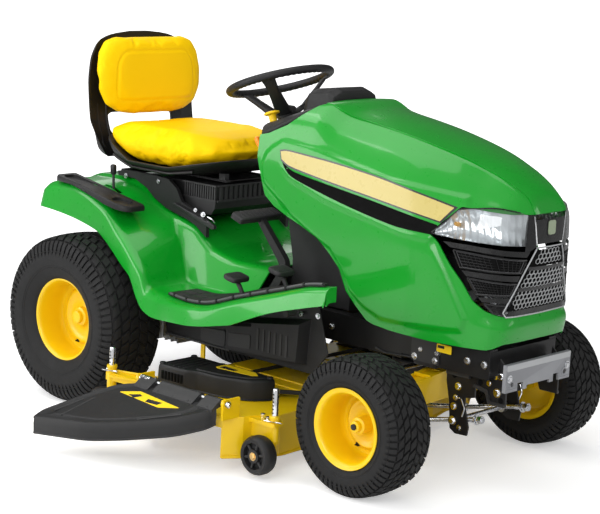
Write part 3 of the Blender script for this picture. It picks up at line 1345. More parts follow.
shell = make("seat_back_shell", loft_mesh([
    back_shell_ring(z) for z in [*np.linspace(770, 1170, 46), 1176, 1181, 1184.5, 1186.5]]),
    SEATBLK, smooth=False)
window = rounded([(-128, 838), (128, 838), (152, 872), (148, 903), (132, 914), (-132, 914),
                  (-148, 903), (-152, 872)], 12, 4)
boolean(shell, [cutter(window, "YZ", -300, -90)])
set_materials(shell, SEATBLK)
bevel(shell, 2.2, 2, 40)
bake(shell)
sharpen(shell.data, 45)
place(shell, "seat")

pan = Piece(SEATBLK)
pan.loft([seat_ring(*ring) for ring in PAN_RINGS])
# stiffening rib along the lower edge
for s in (-1, 1):
    pan.tube(sorted([p for p in seat_ring(0.985, 762, 2, 38, 28)
                     if s * p[1] > 60 and -90 < p[0] < 300], key=lambda p: p[0]), 4.5, 8)
# uprights beside the window and ribs on the rear: y, offset from the rear face, z range, radius
for s in (-1, 1):
    for y, off, low, high, radius, sides in (
            (150, 9.5, 800, 945, 6.0, 10), (190, 9.5, 800, 945, 6.0, 10),
            (120, 0.0, 925, 1150, 4.5, 8)):
        pan.tube([(back_rear_x(z) + off, s * y * (back_half(z) / 236) ** 0.6, z)
                  for z in np.linspace(low, high, 16)], radius, sides)
pan.build("seat_pan_tray", "seat", "black_plastic", angle=45, replaces=("seat_pan",))


# ------------------------------------------------------------------ seat cushions
def get_points(obj):
    return np.array([v.co for v in obj.data.vertices], float)


def get_normals(obj):
    return np.array([v.normal for v in obj.data.vertices], float)


def set_points(obj, points):
    obj.data.vertices.foreach_set("co", points.astype(np.float32).ravel())
    obj.data.update()


def inflate(obj):
    """Blows the cover up as cloth under pressure and gives back its points."""
    cloth = obj.modifiers.new("cloth", "CLOTH")
    settings = cloth.settings
    settings.quality = 4
    settings.mass = 0.3
    settings.tension_stiffness = 14
    settings.compression_stiffness = 14
    settings.shear_stiffness = 5
    settings.bending_stiffness = 0.6
    settings.use_pressure = True
    settings.uniform_pressure_force = 4.0
    settings.effector_weights.gravity = 0.0
    cloth.collision_settings.use_collision = False
    cloth.collision_settings.use_self_collision = False
    scene = bpy.context.scene
    cloth.point_cache.frame_start, cloth.point_cache.frame_end = 1, 20
    for frame in range(1, 21):
        scene.frame_set(frame)
        bpy.context.view_layer.update()
    points = get_points(obj.evaluated_get(bpy.context.evaluated_depsgraph_get()))
    obj.modifiers.clear()
    scene.frame_set(1)
    return points


def cushion(node, name, shrink, travel, keep_out):
    """Padded copy of a CAD cushion: shrunk, blown up by no more than travel, smoothed."""
    source = NODES[node]
    obj = new_object(name, source.data.copy())
    modify(obj, "w", "WELD", merge_threshold=0.00005)
    modify(obj, "r", "REMESH", mode="VOXEL", voxel_size=0.0052)
    modify(obj, "s", "SMOOTH", factor=0.5, iterations=14)
    bake(obj)
    rest = get_points(obj)
    low, high = rest.min(0), rest.max(0)
    centre = (low + high) / 2
    start = centre + (rest - centre) * (1 - 2 * shrink * 0.001 / (high - low))
    set_points(obj, start)
    points = inflate(obj)
    move = points - start
    length = np.linalg.norm(move, axis=1, keepdims=True)
    points = start + move * np.minimum(1.0, travel * 0.001 / np.maximum(length, 1e-9))
    # nothing below the pan or behind the shell it rests on
    points = keep_out(points, rest)
    # the relaxed cover fills the same box as the solid it stands for
    solid = get_points(source)
    low, high = solid.min(0), solid.max(0)
    a, b = points.min(0), points.max(0)
    set_points(obj, low + (points - a) * (high - low + 0.002) / (b - a))
    modify(obj, "s", "SMOOTH", factor=0.5, iterations=3)
    bake(obj)
    modify(obj, "sub", "SUBSURF", levels=1, render_levels=1)
    bake(obj)
    set_one_finish(obj, VINYL)
    obj.data.shade_smooth()
    return obj


def above_pan(points, rest):
    low = rest[:, 2].min()
    near = rest[:, 2] < low + 0.05
    points[:, 2] = np.maximum(points[:, 2], rest[:, 2] - 0.004 * near - 0.02 * ~near)
    return points


def ahead_of_shell(points, rest):
    points[:, 0] = np.maximum(points[:, 0], rest[:, 0] - 0.003)
    return points


seat_pad = cushion("seat_cushion", "seat_cushion_padded", 7.0, 12.0, above_pan)
back_pad = cushion("back_cushion", "back_cushion_padded", 6.0, 11.0, ahead_of_shell)
origin = (ORIGIN_X, ORIGIN_Y, 0)
# sewn-in panel line on the back pad
points, normals = get_points(back_pad) * 1000 - origin, get_normals(back_pad)
seam = rounded([(-168, 962), (168, 962), (176, 1000), (170, 1090), (140, 1128), (-140, 1128),
                (-170, 1090), (-176, 1000)], 34, 6)
inside = outline_distance(points[:, 1], points[:, 2], seam)
raised = ((-2.2 * np.exp(-(inside / 4.2) ** 2) + 1.6 * smooth_step(2, 12, inside))
          * smooth_step(0.2, 0.6, normals[:, 0]))
set_points(back_pad, (points + normals * raised[:, None] + origin) / 1000)
# soft dish in the seat cushion
points, normals = get_points(seat_pad) * 1000 - origin, get_normals(seat_pad)
reach = ((points[:, 0] - 100) / 190) ** 2 + (points[:, 1] / 150) ** 2
points[:, 2] -= 7 * np.exp(-reach**2) * smooth_step(0.3, 0.8, normals[:, 2])
set_points(seat_pad, (points + origin) / 1000)
place(seat_pad, "seat", ("seat_cushion",))
place(back_pad, "seat", ("back_cushion",))

# ------------------------------------------------------------------ seat base
finish_cad("seat_bracket", STEELBLK, 1.2)
finish_cad("seat_base", BLACK, 3.0, 3)
bellows = Piece(BLACK)
for s in (-1, 1):
    for i in range(14):
        x = 206 + i * 10.6
        bellows.box(x, x + 5.2, s * 149, s * 156, 688, 737)
    bellows.prism(rounded([(206, 684), (206, 640), (330, 640), (346, 662), (349, 684)], 5),
                  "XZ", s * 149, s * 153)
    bellows.box(200, 352, s * 148, s * 157, 684, 690)
    bellows.box(198, 353, s * 148, s * 158, 733, 738)
for i in range(13):
    y = -138 + i * 22
    bellows.box(349, 356, y, y + 11, 690, 735)
bellows.box(347, 357, -150, 150, 684, 690)
bellows.box(347, 357, -150, 150, 733, 738)
bellows.build("seat_base_bellows", "chassis", "black_plastic", angle=30)

fasteners = Piece(STEEL)
for s in (-1, 1):
    fasteners.bolt((336, s * 193, 646), (0.25, s, 0.1), 6, 6)
    fasteners.bolt((300, s * 193, 655), (0.1, s, 0.1), 4.5, 5)
    fasteners.tube(bend(flip(s, [(352, 188, 640), (376, 188, 634), (392, 196, 628)]), 8), 3, 10)
    fasteners.bolt((-40, s * 193, 722), (0, s, 0), 6, 6)
    fasteners.bolt((120, s * 193, 724), (0, s, 0), 5, 5)
    # coil springs between the base and the seat frame
    fasteners.tube([(70 + 15 * cos(t), s * 140 + 15 * sin(t), 743 + 2.2 * t / (2 * pi))
                    for t in np.linspace(0, 2 * pi * 2.6, 60)], 1.8, 7)
fasteners.build("seat_base_fasteners", "chassis", "bare_steel")
rails = Piece(STEELBLK)
for s in (-1, 1):
    rails.prism([(205, 664), (214, 668), (400, 620), (402, 609), (392, 606), (300, 632)],
                "XZ", s * 194, s * 208)
bevel(rails.build("seat_slide_rails", "chassis", "black_steel"), 2)


# ------------------------------------------------------------------ storage tray, right fender
def tray_top(x):
    return float(pchip([-176, -85, 0, 60, 100, 150, 186],
                       [723, 717, 708, 695, 686, 672, 662], x))


def tray_cutter(outline, depth):
    """Pocket with its floor a depth below the tray's top."""
    count = len(outline)
    verts = ([(x, y, tray_top(x) - depth) for x, y in outline]
             + [(x, y, tray_top(x) + 60) for x, y in outline])
    return cutter_from((verts, [tuple(range(count))[::-1], tuple(range(count, 2 * count))]
                        + prism_faces(count)[2:]))


outline = rounded([(-172, -302), (-172, -388), (-90, -402), (0, -409), (60, -411), (104, -411),
                   (152, -400), (183, -376), (183, -302)],
                  [10, 22, 30, 30, 30, 30, 26, 24, 10], 5)
under_z = pchip([-176, -85, 0, 60, 100, 150, 186], [703.5, 705, 696.5, 677, 665, 652, 645],
                np.array([x for x, y in outline]))
tray = make("tray_body", loft_mesh([
    [(x, y, z) for (x, y), z in zip(outline, under_z)],
    [(x, y, max(z + 1, tray_top(x) - 5)) for (x, y), z in zip(outline, under_z)],
    [(5 + (x - 5) * 0.985, -355 + (y + 355) * 0.94, tray_top(x)) for x, y in outline]]),
    BLACK, smooth=False)
cup = [(125 + 34 * cos(t), -352 + 34 * sin(t))
       for t in np.linspace(0, 2 * pi, 40, endpoint=False)]
pocket = rounded([(-152, -318), (-152, -372), (-60, -388), (62, -392), (62, -318)], 16)
boolean(tray, [tray_cutter(pocket, 9.0), tray_cutter(cup, 17)])
set_materials(tray, BLACK)
bevel(tray, 1.8, 3, 35)
bake(tray)
sharpen(tray.data, 40)
place(tray, "chassis", ("tray_right",))


# ------------------------------------------------------------------ foot mats
def board_outer(x):
    """Inner z, outer y and outer z of the foot board at x."""
    if x < BOARD_X:
        return row_at(FENDER, x)[2:5]
    inner_z, outer_z, _, _ = row_at(FOOT_BOARD, x)
    return inner_z, float(BOARD_OUTER_Y), outer_z


def board_z(x, y):
    inner_z, outer_y, outer_z = board_outer(x)
    return inner_z + (outer_z - inner_z) * ((abs(y) - 260) / (outer_y - 260))


def foot_mat(s, side):
    piece = Piece(MAT, TRIM)
    xs, shares = np.arange(434, 1118, 6.0), np.linspace(0, 1, 43)
    verts = []
    for x in xs:
        outer_y = board_outer(x)[1]
        inner_y = float(np.interp(x, [862, 902, 1118], [303, 396, 449]))
        for share in shares:
            y = inner_y + (outer_y - 8 - inner_y) * share
            ribbed = (int(share * 42) % 3 != 0 and 0.07 < share < 0.93 and 446 < x < 1108
                      and int((x - 434) / 6) % 12 != 0)
            verts.append((x, s * y, board_z(x, y) + 9.5 + (2.0 if ribbed else 0.0)))
    faces = grid_faces(len(shares), len(xs))
    # skirt
    rim = grid_rim(len(shares), len(xs))
    top = len(verts)
    verts += [(verts[i][0], verts[i][1], verts[i][2] - 7.5) for i in rim]
    for i in range(len(rim)):
        j = (i + 1) % len(rim)
        faces.append((rim[i], rim[j], top + j, top + i))
    piece.add((verts, faces))
    edge = []
    for x in np.arange(446, 1112, 14):
        y = board_outer(x)[1] - 9
        edge.append((x, s * y, board_z(x, y) + 9.0))
    piece.tube(edge, 4.2, 8, TRIM)
    for x, y, z in edge[2:-2:5]:
        piece.box(x - 3, x + 3, y - s * 2, y + s * 6, z - 4, z + 6)
    piece.build(f"foot_mat_{side}_ribbed", "chassis", "mat_rubber", angle=30,
                replaces=(f"foot_mat_{side}",))


for s, side in SIDES:
    foot_mat(s, side)

# ------------------------------------------------------------------ steering wheel and column
TILT_COS, TILT_SIN = cos(radians(20)), sin(radians(20))


def tilted_at(x, y, z):
    """Move from the axes of a part tilted back 20 degrees, with its origin at (x, y, z)."""
    return lambda p: (x + p[0] * TILT_COS - p[2] * TILT_SIN, y + p[1],
                      z + p[0] * TILT_SIN + p[2] * TILT_COS)


def oval(centre, across, up, half_width, half_height):
    """Ring of 16 points, squarer than an ellipse."""
    ring = []
    for i in range(16):
        t = 2 * pi * i / 16
        u = math.copysign(abs(cos(t)) ** 0.55, cos(t)) * half_width
        v = math.copysign(abs(sin(t)) ** 0.55, sin(t)) * half_height
        ring.append(tuple(centre[k] + across[k] * u + up[k] * v for k in range(3)))
    return ring


on_wheel = tilted_at(465, 0, 1078.5)
RIM_STEPS, RIM_SIDES = 288, 24
steering = Piece(BLACK, GLOSS, STEEL)
verts = []
for i in range(RIM_STEPS):
    a = 2 * pi * i / RIM_STEPS
    for j in range(RIM_SIDES):
        b = 2 * pi * j / RIM_SIDES
        # finger waves under the rim
        r = 13.0 - 1.5 * (0.5 + 0.5 * cos(a * 54)) * max(0.0, -sin(b + 0.5)) ** 1.5
        reach = 162.6 + r * 1.05 * cos(b)
        verts.append(on_wheel((reach * cos(a), reach * sin(a), r * sin(b))))
steering.add((verts, [
    (i * RIM_SIDES + j, (i + 1) % RIM_STEPS * RIM_SIDES + j,
     (i + 1) % RIM_STEPS * RIM_SIDES + (j + 1) % RIM_SIDES, i * RIM_SIDES + (j + 1) % RIM_SIDES)
    for i in range(RIM_STEPS) for j in range(RIM_SIDES)]))
# spoke stations: distance out, z, half width, half thickness
SPOKE = ((14, -104, 24, 9), (40, -103, 25, 9), (62, -92, 23, 8), (88, -68, 20, 7),
         (118, -42, 18, 6.5), (140, -22, 19, 6.5), (153, -8, 23, 7), (161, -2, 27, 6))
# raised edge stations: distance out, z, distance from the spoke's middle
SPOKE_EDGE = ((40, -94, 22), (62, -84, 20), (88, -61, 17), (118, -36, 15), (142, -15, 17))
for angle in (180, 60, -60):
    c, d = cos(radians(angle)), sin(radians(angle))
    middle = on_wheel((0, 0, 0))
    across = [a - b for a, b in zip(on_wheel((-d, c, 0)), middle)]
    up = [a - b for a, b in zip(on_wheel((0.25 * c, 0.25 * d, 1)), middle)]
    steering.loft([oval(on_wheel((r * c, r * d, z)), across, up, half, thick)
                   for r, z, half, thick in SPOKE])
    for edge in (-1, 1):
        steering.tube([on_wheel((r * c - d * half * edge, r * d + c * half * edge, z + 1))
                       for r, z, half in SPOKE_EDGE], 3.2, 8)
steering.add(moved(lathe_mesh([(0, -82), (20, -82.5), (29, -86), (33, -92), (34, -112),
                               (31, -120), (24, -127), (0, -128)], 48), on_wheel))
steering.add(moved(lathe_mesh([(0, -80.5), (17, -81), (19, -83), (19, -86), (0, -86)], 40),
                   on_wheel), GLOSS)
steering.tube([on_wheel((0, 0, -110)), on_wheel((0, 0, -298))], 11, 20, STEEL)
steering.build("steering_wheel_moulded", "steering", "black_plastic", angle=40,
               replaces=("steering_wheel",))

profile = [(13.5, -131), (30, -131.5)]
for i in range(5):
    z = -134 - i * 9
    profile += [(31 + i * 2.6, z - 1), (36 + i * 2.8, z - 4), (32 + i * 2.6, z - 8)]
profile += [(50, -182), (52, -230), (50, -296), (13.5, -298), (13.5, -131)]
boot = Piece(TRIM)
boot.add(moved(lathe_mesh(profile, 48), on_wheel))
boot.build("column_boot", "chassis", "black_plastic", angle=50)

# ------------------------------------------------------------------ dash and hand controls
dash = finish_cad("dash_panel", BLACK)
modify(dash, "weld", "WELD", merge_threshold=0.00002)
modify(dash, "r", "REMESH", mode="VOXEL", voxel_size=0.0032, use_smooth_shade=True)
modify(dash, "s", "SMOOTH", factor=0.5, iterations=7)
finish_cad("pedestal", BLACK, 7, 4)


def on_dash(x, y):
    """Move from the axes of a part that stands on the dash at (x, y)."""
    beyond = abs(y) - 150
    return tilted_at(x, y, 950 + math.tan(radians(20)) * (x - 525)
                     - (50 * (beyond / 85) ** 1.6 if beyond > 0 else 0))


knob_move, key_move = on_dash(562, -122), on_dash(612, 120)
details = Piece(BLACK, GLOSS, DECALDK)
details.prism(rounded([(-46, 1000), (46, 1000), (42, 1027), (-42, 1027)], 5), "YZ", 652.6, 656,
              GLOSS)
details.prism(rounded([(-38, 1004), (38, 1004), (35, 1023), (-35, 1023)], 4), "YZ", 651.8, 654,
              DECALDK)
for move in (knob_move, key_move):
    details.add(moved(lathe_mesh([(12.5, -3), (12.5, 1.4), (20, 2.2), (24, 1.0), (25, -2)], 32),
                      move), GLOSS)
details.build("dash_details", "chassis", "gloss_black")

knob = Piece(KNOB)
knob.add(moved(lathe_mesh([
    (0, -30), (8, -30), (8, 2), (11.5, 4), (12.2, 8), (12, 20), (14, 24), (22, 26.5),
    (25, 28.5), (25.4, 31), (23.5, 33.5), (16, 36), (0, 37)], 40), knob_move))
knob.build("pto_knob_moulded", "pto_knob", "yellow_knob", angle=40, replaces=("pto_knob",))

key = Piece(BLACK, CHROME)
key.add(moved(lathe_mesh([(0, -28), (8, -28), (8, 2), (14, 2.5), (15, 4), (15, 7), (13, 8.6),
                          (0, 9)], 36), key_move), CHROME)
bow = rounded([(-11, 14), (-4, 9), (4, 9), (11, 14), (11.5, 27), (6, 33), (-6, 33),
               (-11.5, 27)], 4, 3)
key.add(moved(prism_mesh(bow, "YZ", -2.6, 2.6), key_move))
bevel(key.build("key_and_switch", "key", "black_plastic", replaces=("key_switch",)), 0.6)

throttle = Piece(ORANGE, BLACK)
throttle.tube(bend([(606, -186, 872), (590, -186, 886), (571, -186, 899), (560, -186, 910)], 8),
              5.0)
throttle.loft([oval((572 - 10 * k, -186, 892 + 14 * k), (0, 1, 0), (0.82, 0, 0.57), a, b)
               for k, a, b in ((0, 5.5, 5), (0.35, 8.2, 7), (0.9, 8.6, 8), (1.5, 8.6, 8.2),
                               (1.95, 7.5, 7), (2.1, 4, 4))])
throttle.tube([(606, -192, 872), (606, -180, 872)], 11, 24, BLACK)
throttle.build("throttle_lever_moulded", "throttle", "yellow_knob", angle=40,
               replaces=("throttle_lever",))

CAP_PROFILE = [(0, 31), (20, 31), (27, 29.5), (30.5, 27), (32.2, 23), (32.6, 6), (31, 2),
               (29, 0), (0, 0)]
fuel_cap = Piece(BLACK)
verts = []
for i in range(72):
    angle = 2 * pi * i / 72
    for r, z in CAP_PROFILE:
        r += 1.8 if i % 6 < 3 and 5 < z < 26 else 0
        verts.append((-120 + r * cos(angle), 262 + r * sin(angle), 718.5 + z))
fuel_cap.add((verts, spin_faces(72, len(CAP_PROFILE))))
fuel_cap.build("fuel_cap_ribbed", "fuel_cap", "black_plastic", angle=25, replaces=("fuel_cap",))


# ------------------------------------------------------------------ pedals and lift lever
def foot_pedal(name, x0, x1, y0, y1, z0, z1, stem_y, stem):
    """Ribbed pad sloping from z0 at x0 to z1 at x1, on a stem of (x, z) points."""
    piece = Piece(BLACK)
    thick = 15
    outline = rounded([(x0, y0), (x1, y0), (x1, y1), (x0, y1)], min(x1 - x0, y1 - y0) * 0.32, 5)
    centre = ((x0 + x1) / 2, (y0 + y1) / 2)

    def ring(scale, up):
        heights = [z0 + (z1 - z0) * (x - x0) / (x1 - x0) + up for x, y in outline]
        return [(x, y, z) for (x, y), z in zip(scaled(outline, scale, centre), heights)]
    piece.loft([ring(0.80, 0), ring(0.94, 1.2), ring(1.0, 4.5), ring(1.0, thick - 4),
                ring(0.965, thick - 1.2), ring(0.90, thick)])
    for i in range(6):
        x = x0 + (x1 - x0) * (0.18 + 0.64 * i / 5)
        z = z0 + (z1 - z0) * (x - x0) / (x1 - x0) + thick
        piece.tube([(x, y0 + (y1 - y0) * 0.14, z), (x, y0 + (y1 - y0) * 0.86, z)], 1.5, 8)
    piece.tube(bend([(x, stem_y, z) for x, z in stem], 16), 7)
    x, z = stem[-1]
    piece.tube([(x, stem_y - 13, z), (x, stem_y + 23, z)], 10.5, 24)
    piece.build(f"{name}_moulded", name, "black_plastic", angle=40, replaces=(name,))


foot_pedal("forward_pedal", 835, 887, -412, -336, 570, 559, -375,
           [(862, 566), (886, 528), (896, 480), (898, 452)])
foot_pedal("reverse_pedal", 700, 750, -460, -386, 531, 522, -425,
           [(728, 528), (754, 494), (766, 452), (768, 424)])

brake = Piece(BLACK)
outline = rounded([(592, 688), (640, 671), (649, 690), (603, 707)], 5, 4)
brake.loft([[(x, y, z) for x, z in scaled(outline, scale, (621, 689))] for y, scale in (
    (-332, 0.70), (-330, 0.88), (-325, 1.0), (-157, 1.0), (-152, 0.88), (-150, 0.70))])
for i in range(9):
    y = -314 + i * 18
    brake.tube([(604, y, 706.2), (645, y, 691.6)], 1.5, 8)
arm = [(612, 690), (644, 684), (756, 566), (748, 520), (700, 440), (676, 420), (664, 438),
       (722, 528), (728, 556)]
brake.prism(rounded(arm, [4, 4, 18, 14, 10, 10, 10, 14, 18], 4), "XZ", -243.5, -222.5)
brake.tube([(675, -244, 432), (675, -206, 432)], 12.5, 24)
bevel(brake.build("brake_pedal_moulded", "brake_pedal", "black_plastic", angle=35,
                  replaces=("brake_pedal",)), 1.6, 2, 40)

lever = Piece(BLACK, STEELBLK)
lever.tube([(8, -285, 612), (2, -285, 742)], 4.5, 12, STEELBLK)
lever.loft([oval((2 - up * 0.05, -285, 738 + up), (1, 0, 0), (0, 1, 0), a, b)
            for up, a, b in ((0, 6, 6), (4, 8.5, 8), (18, 9, 8.4), (28, 9.2, 8.6), (32, 7, 6.5),
                             (33.4, 3, 3))])
lever.tube([(8, -290, 612), (8, -276, 612)], 10, 20, STEELBLK)
lever.build("lift_lever_moulded", "lift_lever", "black_plastic", angle=40,
            replaces=("lift_lever",))

# ------------------------------------------------------------------ mower deck
SPINDLES = (("right", 650, -380), ("left", 650, 380), ("centre", 765, 0))
finish_cad("deck_shell", YELLOW, 5, 3, 25)
deck = Piece(YELLOW, CHROME, STEELBLK, BRASS)


def height_rod(x, y, z0, s):
    """Drilled rod with its collar, sleeve and hairpin."""
    deck.tube([(x, y, z0), (x, y, 260), (x, y, 263.5)], [9.4, 9.4, 7.5], 24, CHROME)
    deck.lathe([(9.6, z0 - 4), (15.5, z0 - 4), (16.2, z0 - 2), (16.2, z0 + 3), (15.0, z0 + 5),
                (9.6, z0 + 5)], 32, (x, y, 0), "Z")
    deck.tube([(x, y, z0 - 70), (x, y, z0 - 2)], 14.6, 28)
    for z in range(z0 + 14, min(z0 + 80, 254), 11):
        deck.tube([(x - 9.9, y, z), (x + 9.9, y, z)], 2.9, 12, STEELBLK)
        deck.tube([(x, y - 9.9, z), (x, y + 9.9, z)], 2.9, 12, STEELBLK)
    z = z0 - 12
    deck.tube(bend([(x + dx, y + s * dy, z + dz) for dx, dy, dz in (
        (-26, 0, 0), (24, 0, 0), (34, 5, 2), (36, 12, 4), (20, 17, 4), (0, 15.5, 1),
        (-24, 20, 0))], 5), 1.7, 8, CHROME)


for s in (-1, 1):
    height_rod(985, s * 505, 178, s)
    height_rod(336, s * 560, 202, s)
    # front arm: folded edges and gusset
    deck.prism(rounded(flip(s, [(884, 440), (1002, 486), (1002, 494), (884, 452)]), 3),
               "XY", 152, 166)
    deck.prism(rounded(flip(s, [(884, 520), (1002, 519), (1002, 526), (884, 530)]), 3),
               "XY", 152, 164)
    deck.loft([flip(s, [(880, 446, 156), (880, 528, 156), (880, 528, 164), (880, 446, 164)]),
               flip(s, [(1004, 488, 154), (1004, 524, 154), (1004, 524, 161),
                        (1004, 488, 161)])])
    deck.bolt((920, s * 486, 164), (0, 0, 1), 8, 8, CHROME)
    deck.bolt((952, s * 498, 163), (0, 0, 1), 8, 8, CHROME)
    # rear arm: flat bar with a turned-up edge
    deck.prism(rounded(flip(s, [(492, 470), (330, 546), (322, 566), (336, 578), (352, 576),
                                (500, 530)]), 8), "XY", 171, 178)
    deck.tube([(488, s * 472, 178), (338, s * 544, 184)], 5)
    deck.bolt((470, s * 502, 178), (0, 0, 1), 8, 8, CHROME)
    # gauge wheel axle bolts
    deck.bolt((973, s * 554, 71), (0, s, 0), 8, 7, BRASS)
    deck.bolt((300, s * 557, 71), (0, s, 0), 8, 7, BRASS)
    # lift link clevis and draft ears
    deck.bolt((446, s * 281, 334), (0, s, 0), 7, 7, CHROME)
    deck.tube([(446, s * 268, 334), (446, s * 284, 334)], 5, 14, CHROME)
    deck.bolt((991, s * 131, 112), (0, s, 0), 7, 7, CHROME)
    deck.prism(rounded(flip(s, [(966, 118), (1008, 118), (1008, 134), (966, 134)]), 3),
               "XY", 166, 171)
# spindle housings with bolts on top
for _, x, y in SPINDLES:
    deck.lathe([(14, 168), (52, 168), (54, 171), (34, 174), (30, 179.4), (14, 179.6)], 40,
               (x, y, 0), "Z", STEELBLK)
    for k in range(4):
        a = radians(45 + 90 * k)
        deck.bolt((x + 43 * cos(a), y + 43 * sin(a), 170.5), (0, 0, 1), 5.5, 6, CHROME)
# pressed ribs on the top and the rolled lower lip
for y in (-210, -150, 150, 210):
    deck.tube([(470, y, 168), (930, y, 168)], 4)
LIP_RIGHT = [(440, 0), (440, -300), (446, -470), (480, -545), (541, -597)]
LIP_ROUND = [
    (440, 0), (440, 300), (446, 470), (480, 545), (540, 597), (640, 603), (800, 603),
    (866, 599), (902, 549), (910, 519), (957, 450), (951, 345), (986, 230), (993, 120),
    (993, -120), (986, -230), (951, -345), (957, -450), (910, -519), (902, -549), (867, -598)]
for lip in (LIP_RIGHT, LIP_ROUND):
    deck.tube(bend([(x, y, 47) for x, y in lip], 30), 4.6, 10)
# ears that hold the chute, with the spring
for x in (524, 888):
    deck.lathe([(7.6, -5.4), (13, -5.4), (13, 5.4), (7.6, 5.4)], 28, (x, -612, 214), "X")
deck.bolt((901, -612, 214), (1, 0, 0), 7, 6, CHROME)
deck.tube([(530 + 44 * t, -612 + 11 * cos(t * 2 * pi * 7), 214 + 11 * sin(t * 2 * pi * 7))
           for t in np.linspace(0, 1, 150)], 1.8, 7, CHROME)
deck.build("deck_fittings", "deck", "yellow_paint", angle=40)


# ------------------------------------------------------------------ belt covers
def belt_cover(s, side):
    piece = Piece(BLACK, DARK, LABEL, DECALDK)
    outline = rounded(flip(s, [(469, 337), (469, 501), (594, 491), (618, 471), (702, 463),
                               (792, 425), (828, 373), (828, 337)]),
                      [10, 22, 20, 14, 20, 24, 20, 10], 6)
    # scale and z of each ring
    piece.loft([[(x, y, z) for x, y in scaled(outline, scale, (640, s * 410))] for scale, z in (
        (1.035, 169.8), (1.035, 172), (1.0, 174), (0.99, 222), (0.975, 228), (0.95, 231.5),
        (0.90, 232))])
    # raised panel, ribs and side slots
    panel = rounded(flip(s, [(600, 345), (600, 462), (690, 448), (780, 410), (808, 372),
                             (808, 345)]), 14, 5)
    piece.loft([[(x, y, 231) for x, y in panel],
                [(704 + (x - 704) * 0.985, s * 400 + (y - s * 400) * 0.98, 236)
                 for x, y in panel]])
    for i in range(5):
        x = 488 + i * 22
        piece.tube([(x, s * 350, 232), (x, s * 484, 232)], 3.2, 10)
    for i in range(7):
        x = 496 + i * 13
        y = 501 - (x - 469) * 10 / 125
        piece.prism([(x, 188), (x + 7, 188), (x + 7, 214), (x, 214)], "XZ",
                    s * (y - 2.0), s * (y + 2.4), DARK)
    for x, y in ((484, 352), (484, 484), (812, 350)):
        piece.lathe([(0, 236.5), (8, 236.5), (10, 235), (10.5, 231), (0, 231)], 24,
                    (x, s * y, 0), "Z")
    if s < 0:
        piece.prism(rounded([(628, -350), (752, -350), (784, -372), (770, -386), (640, -404),
                             (628, -398)], 5), "XY", 235.6, 236.7, LABEL)
        piece.prism(rounded([(640, -372), (700, -372), (700, -390), (640, -396)], 3),
                    "XY", 236.2, 237.0, DECALDK)
    bevel(piece.build(f"belt_cover_{side}_moulded", "deck", "black_plastic", angle=38,
                      replaces=(f"belt_cover_{side}",)), 0.8)


for s, side in SIDES:
    belt_cover(s, side)


# ------------------------------------------------------------------ discharge chute
def chute_z(y, off=0.0):
    return 214 - 0.4 * (abs(y) - 606) + off


CHUTE_CENTRE = (600, -725)
chute_outline = rounded([
    (536, -611), (876, -611), (862, -660), (800, -722), (665, -796), (560, -842), (356, -884),
    (356, -850), (420, -740), (478, -664), (536, -634)],
    [4, 10, 30, 30, 20, 24, 5, 14, 22, 22, 6], 5)
chute = Piece(BLACK, STEEL, LABEL, DECALDK)
# scale and height of each ring of the panel
chute.loft([[(x, y, chute_z(y, up)) for x, y in scaled(chute_outline, scale, CHUTE_CENTRE)]
            for scale, up in (
                (0.97, -8), (0.995, -7.5), (1.0, -5), (1.0, -1.5), (0.985, 1.6), (0.955, 1.8),
                (0.94, 0.2), (0.80, -0.6), (0.785, 1.4), (0.74, 1.8), (0.72, 1.7),
                (0.4, 1.5))])
# skirt along the outer edge; its section is (distance out, height)
skirt = bend([(872, -632, 0), (862, -660, 0), (800, -722, 0), (665, -796, 0), (560, -842, 0),
              (362, -883, 0)], 40, 6)
SKIRT_SECTION = [(1.0, 1.0), (3.4, -20), (2.6, -50), (0.5, -53), (-4.0, -52), (-4.0, -2)]
rings = []
for i, (x, y, _) in enumerate(skirt):
    a, b = skirt[max(i - 1, 0)], skirt[min(i + 1, len(skirt) - 1)]
    along_x, along_y = b[0] - a[0], b[1] - a[1]
    length = hypot(along_x, along_y)
    out_x, out_y = -along_y / length, along_x / length
    if out_y > 0:
        out_x, out_y = -out_x, -out_y
    rings.append([(x + out_x * out, y + out_y * out, chute_z(y, up))
                  for out, up in SKIRT_SECTION])
chute.loft(rings)
chute.tube([(x, y, chute_z(y, -49)) for x, y, _ in skirt], 4.2, 10)
# hinge rod and the notched cover over it
chute.tube([(515, -612, 214), (897, -612, 214)], 6, 20, STEEL)
HINGE_SECTION = [(-598.5, 214), (-603, 223), (-616, 225), (-634, 213), (-652, 200), (-652, 192),
                 (-612, 205)]
for ends in ((538, 600), (622, 790), (812, 874)):
    chute.loft([[(x, y, z) for y, z in HINGE_SECTION] for x in ends])
for x in (560, 640, 706, 770, 850):
    chute.tube([(x, -606, chute_z(606, 10)), (x, -648, chute_z(648, 5))], 2.2, 8)
# plain label with two marks, then raised bars on the panel
for outline, low, high, mat in (
        (rounded([(520, -690), (585, -664), (770, -680), (702, -703)], 6, 3), 1.2, 2.6, LABEL),
        ([(560, -690), (596, -676), (612, -680), (590, -696)], 2.0, 3.0, DECALDK),
        ([(640, -684), (700, -682), (690, -696), (642, -698)], 2.0, 3.0, DECALDK)):
    chute.add(([(x, y, chute_z(y, up)) for up in (low, high) for x, y in outline],
               prism_faces(len(outline))), mat)
for bar in (((440, -760), (400, -838)), ((470, -740), (440, -846)), ((800, -700), (690, -770))):
    chute.tube([(x, y, chute_z(y, 1.2)) for x, y in bar], 2.4, 8)
chute.build("chute_moulded", "chute", "black_plastic", angle=38, replaces=("chute",))


